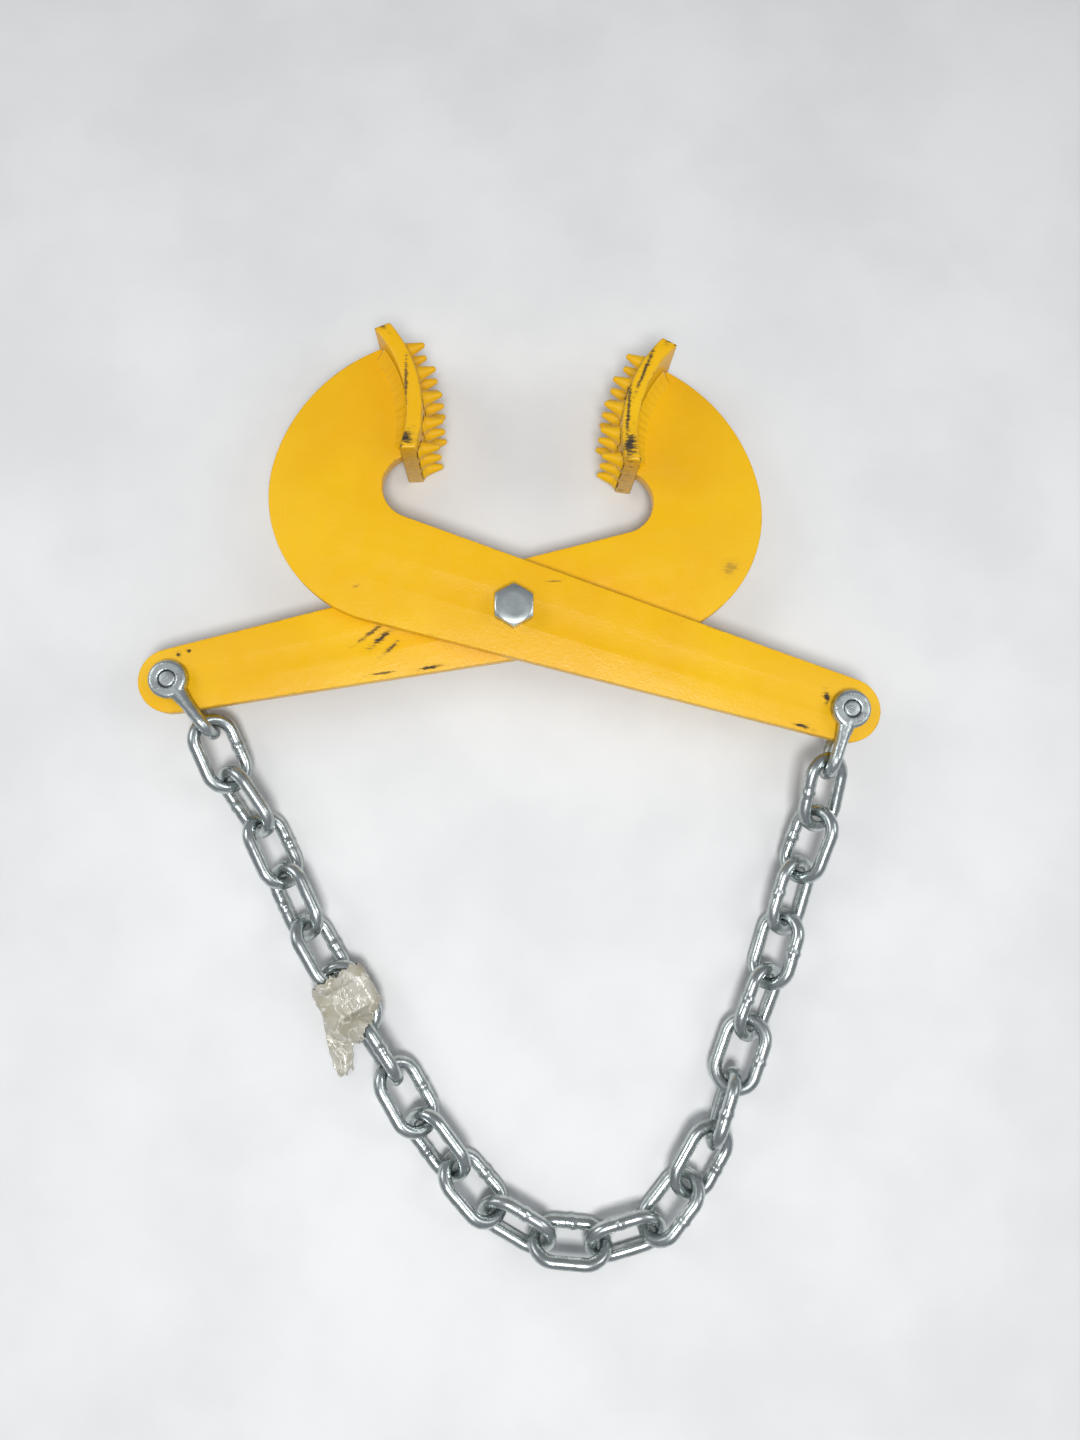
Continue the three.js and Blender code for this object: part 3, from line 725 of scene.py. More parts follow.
@dataclass
class ScissorArm:
    """One painted arm: the plate, its jaw plate with teeth, and the two welds between them.

    It is worked out about the pivot, its tail towards +X, and the other arm is the same one turned over.
    """

    side: Side
    pivot: Pair
    paints: dict[str, bpy.types.Material]
    middle: float = 0.040
    droop: float = math.radians(14.45)
    gap: float = 0.0004
    thickness: float = 0.012
    length: float = 0.265
    edge: float = 0.0009
    tail_radius: float = 0.0245
    throat: Pair = (-0.100, 0.068)
    throat_radius: float = 0.025
    hook: Pair = (-0.109, 0.0574)
    hook_radius: float = 0.0992
    hook_back_radius: float = 0.1384
    pivot_hole: float = 0.009825
    pin_hole: float = 0.00725
    jaw_centre: Pair = (-0.207, 0.087)
    jaw_face_radius: float = 0.104
    jaw_thickness: float = 0.012
    jaw_height: float = 0.080
    jaw_angles: Pair = (math.radians(-2), math.radians(60))
    jaw_edge: float = 0.0016
    seat_gap: float = 0.0003
    jaw_skew: float = math.radians(2.5)
    jaw_corner: float = 0.0013
    tooth_length: float = 0.0155
    tooth_root: float = 0.0064
    tooth_tip: float = 0.0024
    tooth_flare: float = 0.0013
    tooth_sunk: float = 0.002
    tooth_columns: int = 5
    tooth_rows: int = 3
    tooth_row_pitch: float = 0.022
    tooth_first: float = math.radians(3.5)
    tooth_pitch: float = math.radians(11)
    tooth_aim: float = math.radians(32)
    tooth_fan: float = 0.33
    weld_leg: float = 0.0095
    weld_end: float = math.radians(1.6)
    weld_hollow: float = 0.0006
    weld_ripple: float = 0.00003
    weld_sway: float = 0.05
    weld_fade: float = math.radians(2.5)
    weld_sunk: float = 0.0004
    ripple_pitch: float = 0.0031

    @property
    def seat_radius(self) -> float:
        """Radius of the arm's seat behind the jaw plate."""
        return self.jaw_face_radius - self.jaw_thickness - self.seat_gap

    @property
    def hook_back(self) -> Pair:
        """Centre of the easier curve from the hook up to the jaw."""
        return (self.hook[0] - self.hook_radius + self.hook_back_radius, self.hook[1])

    @property
    def placing(self) -> Placing:
        """Where the arm lies."""
        return Placing(-self.droop, (*self.pivot, self.middle), self.side is Side.RIGHT)

    @property
    def tail(self) -> Pair:
        """Place of the shackle pin's axis."""
        x, y, _ = self.placing.carry(np.array([self.length, 0.0, 0.0]))
        return (float(x), float(y))

    @property
    def top(self) -> float:
        """Height of the plate's upper face."""
        return self.middle + (self.gap / 2 + self.thickness if self.side is Side.LEFT else -self.gap / 2)

    @property
    def body(self) -> str:
        """The body that the arm is."""
        return "upper" if self.side is Side.LEFT else "lower"

    def _corners(self) -> Pair:
        """Angles, seen from the jaw's centre, of the seat's two ends.

        Each is where the seat's circle meets another: the angle to that circle's centre, less or
        plus the arc cosine of (d^2 + r1^2 - r2^2) / (2 d r1).

        Returns:
            The lower and the upper angle.
        """

        def meet(centre: Pair, radius: float, sign: float) -> float:
            """The angle to one meeting point.

            Args:
                centre: Middle of the other circle.
                radius: Its radius.
                sign: Picks one of the two points.

            Returns:
                The angle.
            """
            dx, dy = centre[0] - self.jaw_centre[0], centre[1] - self.jaw_centre[1]
            apart = math.hypot(dx, dy)
            share = (apart**2 + self.seat_radius**2 - radius**2) / (2 * apart * self.seat_radius)
            return math.atan2(dy, dx) + sign * math.acos(share)

        return meet(self.throat, self.throat_radius, 1), meet(self.hook_back, self.hook_back_radius, 1)

    def outline(self) -> Array:
        """The plate's outline, anticlockwise: tail, throat, seat of the jaw, back of the hook, hook.

        Returns:
            The points.
        """
        tail = (self.length, 0.0)

        def touch(other: Pair, radius: float, side: float) -> float:
            """Direction from the tail's centre to where a common tangent touches it."""
            dx, dy = other[0] - tail[0], other[1] - tail[1]
            return math.atan2(dy, dx) + side * math.acos((self.tail_radius - radius) / math.hypot(dx, dy))

        def seen(centre: Pair, angle: float) -> float:
            """Angle, from a centre, of the point of the seat at an angle.

            Args:
                centre: Where the point is seen from.
                angle: Its angle about the jaw's centre.

            Returns:
                The angle about the given centre.
            """
            x = self.jaw_centre[0] + self.seat_radius * math.cos(angle)
            y = self.jaw_centre[1] + self.seat_radius * math.sin(angle)
            return math.atan2(y - centre[1], x - centre[0])

        low, high = self._corners()
        down = touch(self.hook, self.hook_radius, 1) % FULL
        rise = touch(self.throat, -self.throat_radius, -1) % FULL
        start = rise + math.pi
        end = start - (start - seen(self.throat, low)) % FULL
        return np.concatenate([
            arc(tail, self.tail_radius, rise - (rise - down) % FULL, rise),
            arc(self.throat, self.throat_radius, start, end),
            arc(self.jaw_centre, self.seat_radius, low, high)[1:],
            arc(self.hook_back, self.hook_back_radius, seen(self.hook_back, high), math.pi)[1:],
            arc(self.hook, self.hook_radius, math.pi, down)[1:],
        ])

    def build_plate(self) -> bpy.types.Object:
        """The flat plate with its two holes.

        Returns:
            The piece.
        """
        pivot = arc((0.0, 0.0), self.pivot_hole, FULL, 0)[:-1]
        pin = arc((self.length, 0.0), self.pin_hole, FULL, 0)[:-1]
        surface = Surface()
        low = self.gap / 2
        plate(surface, [self.outline(), pivot, pin], low, low + self.thickness, self.edge)
        surface.moved(self.placing)
        return surface.build(f"{self.body}_arm_painted", 40)

    def _tooth(self, column: int, row: int) -> tuple[Array, Array]:
        """Profile and frame of one tooth.

        The radius falls evenly from root to tip, flares by f exp(-h / f) at the root and ends in
        a rounded tip.

        Args:
            column: Its column, counted from the throat.
            row: Its row, counted from below.

        Returns:
            Radius and height of each ring, and the frame: its columns are X, Y, Z and the root.
        """
        height = np.linspace(-self.tooth_sunk, self.tooth_length - self.tooth_tip, 16)
        taper = self.tooth_root + (self.tooth_tip - self.tooth_root) * height / height[-1]
        flare = self.tooth_flare * np.exp(-np.maximum(height, 0) / self.tooth_flare)
        angle = np.linspace(math.pi / 2, 0, 6)[1:]
        cap = np.stack([self.tooth_tip * np.sin(angle), height[-1] + self.tooth_tip * np.cos(angle)], 1)
        profile = np.concatenate([[[0, height[0]]], np.stack([taper + flare, height], 1), cap])
        seat = self.tooth_first + column * self.tooth_pitch
        fan = self.tooth_fan * (column - (self.tooth_columns - 1) / 2) * self.tooth_pitch
        aim = np.array([math.cos(self.tooth_aim + fan), math.sin(self.tooth_aim + fan), 0.0])
        up = np.array([0.0, 0.0, 1.0])
        root = np.array([
            self.jaw_centre[0] + self.jaw_face_radius * math.cos(seat),
            self.jaw_centre[1] + self.jaw_face_radius * math.sin(seat),
            (row - (self.tooth_rows - 1) / 2) * self.tooth_row_pitch,
        ])
        return profile, np.stack([up, np.cross(aim, up), aim, root], axis=1)

    def build_jaw(self) -> bpy.types.Object:
        """The curved plate with its teeth.

        Returns:
            The piece.
        """
        low, high = self.jaw_angles
        face = arc(self.jaw_centre, self.jaw_face_radius, low + self.jaw_skew, high - self.jaw_skew)
        back = arc(self.jaw_centre, self.jaw_face_radius - self.jaw_thickness, high, low)
        corners = [0, len(face) - 1, len(face), len(face) + len(back) - 1]
        loop = softened(np.concatenate([face, back]), corners, self.jaw_corner)
        surface = Surface()
        plate(surface, [loop], -self.jaw_height / 2, self.jaw_height / 2, self.jaw_edge)
        for column in range(self.tooth_columns):
            for row in range(self.tooth_rows):
                profile, axis = self._tooth(column, row)
                turned(surface, profile, 28, axis)
        surface.moved(self.placing)
        return surface.build(f"{self.side.value}_jaw_painted", 40)

    def build_weld(self, outer: bool) -> bpy.types.Object:
        """One fillet weld.

        Across, it runs from A on the plate to B on the jaw as (1 - t) A + t B plus an outward bulge
        (c |cos(pi s / p + 2 sin(pi t))| - b) sin(pi t). Both ends shrink to nothing.

        Args:
            outer: Whether it lies on the plate's face away from the other arm.

        Returns:
            The piece.
        """
        low, high = self._corners()
        low, high = low + self.weld_end, high - self.weld_end
        angle = np.linspace(low, high, 240)[:, None]
        run = (angle - low) * self.seat_radius
        ends = np.clip(np.minimum(angle - low, high - angle) / self.weld_fade, 0.02, 1) ** 0.5
        leg = self.weld_leg * ends * (1 + self.weld_sway * waves(run * 300, run * 0, 4 if outer else 7))
        t = np.linspace(0, 1, 13)[None, :]
        across = np.sin(math.pi * t)
        ripple = self.weld_ripple * np.abs(np.cos(math.pi * run / self.ripple_pitch + 2 * across))
        bulge = (ripple - self.weld_hollow * ends) * across / math.sqrt(2)
        radius = self.seat_radius - leg * (1 - t) - bulge
        rise = leg * t + bulge
        corner = np.full_like(angle, self.seat_radius + self.weld_sunk)
        radius = np.concatenate([radius, corner], axis=1)
        rise = np.concatenate([rise, np.full_like(angle, -self.weld_sunk)], axis=1)
        start = self.gap / 2
        z = start + self.thickness + rise if outer else start - rise
        x, y = self.jaw_centre
        rows = joined(x + radius * np.cos(angle), y + radius * np.sin(angle), z)
        surface = Surface()
        surface.grid(rows)
        surface.cap(rows)
        surface.moved(self.placing)
        return surface.build(f"{self.side.value}_weld_{'outer' if outer else 'inner'}_painted", 60)

    def build(self) -> None:
        """Builds and dresses the four pieces."""
        side = self.side.value
        plate_paint, jaw_paint = self.paints[f"{self.body}_arm"], self.paints[f"{side}_jaw"]
        dress(self.build_plate(), self.body, f"{self.body}_arm", plate_paint)
        dress(self.build_jaw(), self.body, f"{side}_jaw_plate", jaw_paint)
        for outer, name in ((True, "outer"), (False, "inner")):
            node = f"{side}_jaw_weld_{name}"
            dress(self.build_weld(outer), self.body, node, self.paints["weld"])


@dataclass
class PivotBolt:
    """Hex bolt, washer and nut on the pivot axis."""

    pivot: Pair
    zinc: bpy.types.Material
    head_low: float = 0.0525
    head_height: float = 0.012
    flats: float = 0.0286
    flat_radius: float = 0.0136
    turn: float = math.radians(2)
    shank: float = 0.009525
    shank_end: float = 0.0039
    washer: Pair = (0.0245, 0.0275)
    washer_radius: float = 0.019
    washer_edge: float = 0.0004
    washer_step: float = 0.0012
    bore: float = 0.009825
    nut: Pair = (0.0079, 0.0242)
    thread_pitch: float = 0.00254
    thread_top: float = 0.026
    thread_depth: float = 0.0011
    thread_lead: float = 0.0008
    overlap: float = 0.001
    lip: float = 0.0008
    flat_edge: float = 0.0003

    def _hexagon(self, low: float, high: float, bore: float, turn: float, chamfer_low: bool) -> Array:
        """Rows of a chamfered hexagon.

        Its wall stands at r = (flats / 2) / cos(a), a from -30 to 30 degrees on each side, and a
        cone of 30 degrees, z = high - (r - flat radius) tan 30, cuts its corners.

        Args:
            low: Height of the lower face.
            high: Height of the upper face.
            bore: Radius of the hole, or 0.
            turn: Turn of its corners about the axis.
            chamfer_low: Whether the lower corners are cut too.

        Returns:
            The places, shape (rings, steps round, 3).
        """
        angle = circle(120)
        local = (angle + math.pi / 6) % (math.pi / 3) - math.pi / 6
        wall = self.flats / 2 / np.cos(local)
        fall = (wall - self.flat_radius) * math.tan(math.pi / 6)
        flat, edge, lip = self.flat_radius, self.flat_edge, self.lip
        ring = [(wall, low + fall if chamfer_low else low), (wall, high - fall)]
        ring += [(flat + edge, high - edge * 2 / 3), (flat - edge, high)]
        if bore:
            ring += [(bore + lip, high), (bore, high - lip), (bore, low + lip), (bore + lip, low)]
            if chamfer_low:
                ring.append((flat, low))
        else:
            ring = [(0, low), *ring, (0.6 * flat, high), (0, high)]
        r, z = (np.array([np.broadcast_to(pair[k], angle.shape) for pair in ring]) for k in (0, 1))
        place = angle + turn
        return joined(self.pivot[0] + r * np.cos(place), self.pivot[1] + r * np.sin(place), z)

    def build_bolt(self) -> bpy.types.Object:
        """Head and shank, with a rolled thread at its lower end.

        The thread is drawn as rings: r = shank - depth |2 (z / pitch mod 1) - 1|, less
        l exp(-(z - end) / l) at its start.

        Returns:
            The piece.
        """
        surface = Surface()
        head_top = self.head_low + self.head_height
        surface.grid(self._hexagon(self.head_low, head_top, 0.0, self.turn, False))
        height = np.linspace(self.shank_end, self.thread_top, 105)
        saw = np.abs(2 * ((height / self.thread_pitch) % 1) - 1)
        lead = self.thread_lead
        radius = self.shank - self.thread_depth * saw - lead * np.exp(-(height - height[0]) / lead)
        thread = np.stack([radius, height], 1)
        inside = self.head_low + self.overlap
        ends = [(self.shank, self.thread_top + self.overlap), (self.shank, inside), (0, inside)]
        profile = np.concatenate([[(0, self.shank_end)], thread, ends])
        origin = np.array([*self.pivot, 0.0])
        turned(surface, profile, 64, np.column_stack([np.eye(3), origin]))
        return surface.build("pivot_bolt_turned", 28)

    def build_washer(self) -> bpy.types.Object:
        """The flat washer.

        Returns:
            The piece.
        """
        surface = Surface()
        ring = arc(self.pivot, self.washer_radius, 0, FULL, self.washer_step)[:-1]
        hole = arc(self.pivot, self.bore, FULL, 0, self.washer_step)[:-1]
        plate(surface, [ring, hole], *self.washer, self.washer_edge)
        return surface.build("pivot_washer_pressed", 40)

    def build_nut(self) -> bpy.types.Object:
        """The hex nut with its bore.

        Returns:
            The piece.
        """
        surface = Surface()
        surface.grid(self._hexagon(*self.nut, self.bore, self.turn, True), along=True)
        return surface.build("pivot_nut_forged", 28)

    def build(self) -> None:
        """Builds and dresses the three pieces."""
        dress(self.build_bolt(), "pivot", "pivot_bolt", self.zinc)
        dress(self.build_washer(), "pivot", "pivot_washer", self.zinc)
        dress(self.build_nut(), "pivot", "pivot_nut", self.zinc)


@dataclass
class Shackle:
    """Forged shackle and its screw pin, hanging on one tail.

    It is worked out about the pin's axis, its bow towards +X and the middle of its mouth at z = 0.
    """

    side: Side
    tail: Pair
    arm_top: float
    heading: float
    lug_turn: float
    zinc: bpy.types.Material
    wire: float = 0.0095
    inside: float = 0.017
    reach: float = 0.0505
    eye_radius: float = 0.0145
    eye_thickness: float = 0.0095
    eye_round: float = 0.0026
    pin_radius: float = 0.00635
    hole_radius: float = 0.00665
    collar_radius: float = 0.0105
    collar_thickness: float = 0.0025
    lug_radius: float = 0.0095
    lug_thickness: float = 0.007
    lug_hole: float = 0.0036
    lug_edge: float = 0.0014
    lug_step: float = 0.001
    collar_edge: float = 0.0006
    thread_pitch: float = 0.00185
    thread_depth: float = 0.0007
    thread_length: float = 0.009
    thread_runout: float = 0.0005
    end_chamfer: Pair = (0.0011, 0.0016)
    end_lip: float = 0.0001
    centre_mark: Pair = (0.0012, 0.0004)
    seat_gap: float = 0.0003
    grain: float = 0.00055
    eye_flare: float = 0.42
    flare_reach: float = 0.010
    root_rise: float = 0.06
    root_reach: float = 0.006
    crown_flat: float = 0.05
    crown_reach: float = 0.008
    unevenness: float = 0.010

    @property
    def placing(self) -> Placing:
        """Where the shackle hangs: its upper eye rests on the arm."""
        return Placing(self.heading, (*self.tail, self.arm_top + self.seat_gap - self.inside / 2))

    def _bow(self) -> Array:
        """Rows of the bow.

        The centre line runs out along z = t, round a half circle of radius t and back along
        z = -t. The section is a circle that widens sideways towards the eyes by 1 + w exp(-(d / k)^2).

        Returns:
            Places in rows along the wire, shape (m, n, 3).
        """
        turn = (self.inside + self.wire) / 2
        start = self.eye_radius - self.wire / 2
        leg = self.reach - turn - start
        half = math.pi * turn
        run = np.linspace(0, 2 * leg + half, 90)
        bent = np.clip((run - leg) / turn, 0, math.pi)
        over = np.clip(run - leg - half, 0, None)
        x = start + np.minimum(run, leg) + turn * np.sin(bent) - over
        z = turn * np.cos(bent)
        near = np.minimum(run, run[-1] - run)
        wide = 1 + self.eye_flare * bell(near, self.flare_reach)
        high = 1 + self.root_rise * bell(near, self.root_reach)
        high -= self.crown_flat * bell(run - run[-1] / 2, self.crown_reach)
        around = circle(28)
        out = self.wire / 2 * np.cos(around)[None] * high[:, None]
        side = self.wire / 2 * np.sin(around)[None] * wide[:, None]
        rough = 1 + self.unevenness * waves(run[:, None] * 260, around[None] + 0 * run[:, None], 5)
        sine, cosine = np.sin(bent)[:, None], np.cos(bent)[:, None]
        return joined(x[:, None] + out * sine * rough, side * rough, z[:, None] + out * cosine * rough)

    def _eye(self, low: float) -> Array:
        """Profile of one eye's ring: a rectangle with rounded corners between hole and rim.

        Args:
            low: Height of the eye's lower face.

        Returns:
            Radius and height of each ring.
        """
        r = self.eye_round
        high = low + self.eye_thickness
        corner = np.linspace(0, math.pi / 2, 6)
        rim = self.eye_radius - r
        return np.concatenate([
            [(self.hole_radius, low), (rim, low)],
            np.stack([rim + r * np.sin(corner), low + r - r * np.cos(corner)], 1),
            np.stack([rim + r * np.cos(corner), high - r + r * np.sin(corner)], 1),
            [(self.hole_radius, high)],
        ])

    def build_bow(self) -> bpy.types.Object:
        """Bow and eyes, grown into one forging by a fine remesh and then smoothed.

        Returns:
            The piece.
        """
        surface = Surface()
        rows = self._bow()
        surface.grid(rows)
        surface.cap(rows)
        angle = circle(96)
        for low in (self.inside / 2, -self.inside / 2 - self.eye_thickness):
            r, h = self._eye(low).T[..., None]
            surface.grid(joined(r * np.cos(angle), r * np.sin(angle), h), along=True)
        rough = surface.build("rough_forging")
        remesh = rough.modifiers.new("remesh", "REMESH")
        remesh.mode = "VOXEL"
        remesh.voxel_size = self.grain
        smooth = rough.modifiers.new("smooth", "SMOOTH")
        smooth.factor = 0.5
        smooth.iterations = 7
        seen = rough.evaluated_get(bpy.context.evaluated_depsgraph_get())
        mesh = bpy.data.meshes.new_from_object(seen)
        bpy.data.objects.remove(rough)
        mesh.vertices.foreach_set("co", self.placing.carry(vertices(mesh)).ravel())
        mesh.polygons.foreach_set("use_smooth", np.ones(len(mesh.polygons), bool))
        mesh.update()
        return placed(f"{self.side.value}_shackle_forged", mesh)

    def build_pin(self) -> bpy.types.Object:
        """The screw pin: flush end above, collar and pierced lug below.

        The flush end shows the start of its thread as shallow rings.

        Returns:
            The piece.
        """
        top = self.inside / 2 + self.eye_thickness
        collar_top = -top - self.seat_gap
        collar_low = collar_top - self.collar_thickness
        surface = Surface()
        height = np.linspace(top - self.thread_length, top - 0.1 * self.thread_length, 40)
        saw = np.abs(2 * ((height / self.thread_pitch) % 1) - 1)
        thread = np.stack([self.pin_radius - self.thread_depth * saw, height], 1)
        rim, soft, pin = self.collar_radius, self.collar_edge, self.pin_radius
        (first, last), (mark, sunk) = self.end_chamfer, self.centre_mark
        profile = np.concatenate([
            [(0, collar_low), (rim - soft, collar_low), (rim, collar_low + soft)],
            [(rim, collar_top - soft), (rim - soft, collar_top)],
            [(pin, collar_top), (pin, top - self.thread_length - self.thread_runout)],
            thread,
            [(pin - first, top - self.end_lip), (pin - last, top), (mark, top)],
            [(mark - sunk, top - sunk), (0, top - sunk)],
        ])
        turned(surface, profile, 56)
        stem = self.collar_thickness / 2
        lug = np.concatenate([
            arc((0.0, 0.0), self.lug_radius, math.pi, FULL, self.lug_step),
            [[self.lug_radius, stem], [-self.lug_radius, stem]],
        ])
        hole = arc((0.0, -self.lug_radius / 2), self.lug_hole, FULL, 0, 0.8 * self.lug_step)[:-1]
        flat = Surface()
        plate(flat, [lug, hole], -self.lug_thickness / 2, self.lug_thickness / 2, self.lug_edge)
        c, s = math.cos(self.lug_turn), math.sin(self.lug_turn)
        for points, (faces, smooth) in zip(flat.points, flat.faces):
            x, y, z = points.T
            stood = np.stack([c * x + s * z, s * x - c * z, y + collar_low], axis=1)
            surface.add(stood, faces - faces.min(), smooth)
        surface.moved(self.placing)
        return surface.build(f"{self.side.value}_shackle_pin_turned", 40)

    def build(self) -> None:
        """Builds and dresses the shackle and its pin."""
        side = self.side.value
        dress(self.build_bow(), f"{side}_bow", f"{side}_shackle", self.zinc)
        dress(self.build_pin(), f"{side}_bow", f"{side}_shackle_pin", self.zinc)


@dataclass
class LinkPlace:
    """Where one link lies, read from its solid.

    The longest, middle and shortest spread of its points give its length, width and thickness,
    and the side with more points at its middle is the one with the weld.
    """

    number: int
    wire: float = 0.010
    inside_width: float = 0.0205
    solid_sides: int = 8
    weld_half: float = 0.004
    axes: Array = field(init=False)
    centre: Array = field(init=False)

    def __post_init__(self) -> None:
        """Reads the solid."""
        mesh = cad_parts[f"chain_link_{self.number:02d}"].data
        places = np.unique(vertices(mesh).round(7), axis=0)
        mean = places.mean(axis=0)
        _, spread = np.linalg.eigh(np.cov((places - mean).T))
        along, width, over = spread[:, 2], spread[:, 1], spread[:, 0]
        onwards = np.array([1.0, -1.0, 0.0] if self.number < 12 else [0.2, 1.0, 0.0])
        if along @ onwards < 0:
            along = -along
        local = (places - mean) @ np.stack([along, width, over], axis=1)
        middle = local[np.abs(local[:, 0] - (local[:, 0].min() + local[:, 0].max()) / 2) < self.weld_half]
        if (middle[:, 1] > 0).sum() < (middle[:, 1] < 0).sum():
            width = -width
            local[:, 1] *= -1
        over = np.cross(along, width)
        self.axes = np.stack([along, width, over], axis=1)
        flat = self.wire / 2 * math.cos(math.pi / self.solid_sides)
        half = (self.inside_width + self.wire) / 2 + flat
        centre = (local.min(axis=0) + local.max(axis=0)) / 2
        centre[1] = local[:, 1].min() + half
        centre[2] = (places @ over).min() / 2 + (places @ over).max() / 2 - mean @ over
        self.centre = mean + self.axes @ centre

    def carry(self, points: Array) -> Array:
        """Points of the link's own frame, in the part's frame."""
        return points @ self.axes.T + self.centre


@dataclass
class WeldedChain:
    """The welded links, each bent from round wire and butt-welded on one side."""

    zinc: list[bpy.types.Material]
    links: int = 22
    wire: float = 0.010
    inside_length: float = 0.044
    inside_width: float = 0.0205
    seam: float = 0.0007
    seam_width: float = 0.0016
    seam_wander: float = 0.0012
    seam_lean: float = 0.0006
    groove: float = 0.00025
    groove_place: float = 0.0042
    groove_width: float = 0.0009
    pressed: float = 0.035
    unevenness: float = 0.004
    outer_seams: tuple[int, ...] = (2, 4, 9, 14, 15, 17, 19)

    @property
    def bend(self) -> float:
        """Radius of the wire's centre line round the ends."""
        return (self.inside_width + self.wire) / 2

    def centre_line(self, count: int = 132) -> tuple[Array, Array]:
        """The link's centre line, two half circles joined by straights, at even steps.

        The second half is the first one turned by half a turn: (-x, -y).

        Args:
            count: How many points.

        Returns:
            The points, shape (count, 2), and the angle that the wire faces at each.
        """
        half = self.inside_length / 2 + self.wire / 2 - self.bend
        bent = math.pi * self.bend
        side, run = np.divmod((np.arange(count) + 0.5) / count * 2 * (2 * half + bent), 2 * half + bent)
        angle = np.minimum(run, bent) / self.bend - math.pi / 2
        x = half + self.bend * np.cos(angle) - np.maximum(run - bent, 0)
        line = np.stack([x, self.bend * np.sin(angle)], axis=1)
        return line * (1 - 2 * side)[:, None], angle + math.pi * side

    def _wire(self, number: int) -> Array:
        """Rows of one link.

        The wire's radius swells at the weld by s exp(-(x / w)^2), with a groove beside it, and the
        bends are a little flatter where they were pressed round.

        Args:
            number: The link's number.

        Returns:
            Places in rows along the wire, in the link's own frame.
        """
        pick = np.random.default_rng(900 + number)
        line, angle = self.centre_line()
        side = -1.0 if number in self.outer_seams else 1.0
        around = circle(24)[None]
        at_weld = np.where(side * line[:, 1] > 0.9 * self.bend, 1.0, 0.0)
        shift = pick.uniform(-self.seam_wander, self.seam_wander)
        off = (line[:, 0] - shift)[:, None] + self.seam_lean * np.sin(around + pick.uniform(0, 6))
        swell = self.seam * (0.8 + 0.3 * np.sin(2 * around + pick.uniform(0, 6)))
        ridge = swell * bell(off, self.seam_width) * at_weld[:, None]
        beside = bell(np.abs(off) - self.groove_place, self.groove_width)
        groove = -self.groove * beside * at_weld[:, None]
        pressed = 1 - self.pressed * np.abs(np.cos(angle))[:, None] * np.cos(around) ** 2
        across, along = (line * 300).T[..., None]
        dents = 1 + self.unevenness * waves(across + around, along + 2 * around, 40 + number)
        radius = self.wire / 2 * pressed * dents + ridge + groove
        out = radius * np.cos(around)
        x = line[:, :1] + out * np.cos(angle)[:, None]
        y = line[:, 1:] + out * np.sin(angle)[:, None]
        return joined(x, y, radius * np.sin(around))

    def build(self) -> list[LinkPlace]:
        """Builds and dresses every link.

        Returns:
            Where each link lies.
        """
        lies = [LinkPlace(number) for number in range(1, self.links + 1)]
        for lie in lies:
            surface = Surface()
            surface.grid(lie.carry(self._wire(lie.number)), along=True)
            piece = surface.build(f"link_{lie.number:02d}_bent_wire", 60)
            body = f"link_{lie.number:02d}"
            node = f"chain_link_{lie.number:02d}"
            dress(piece, body, node, self.zinc[lie.number % len(self.zinc)])
        return lies


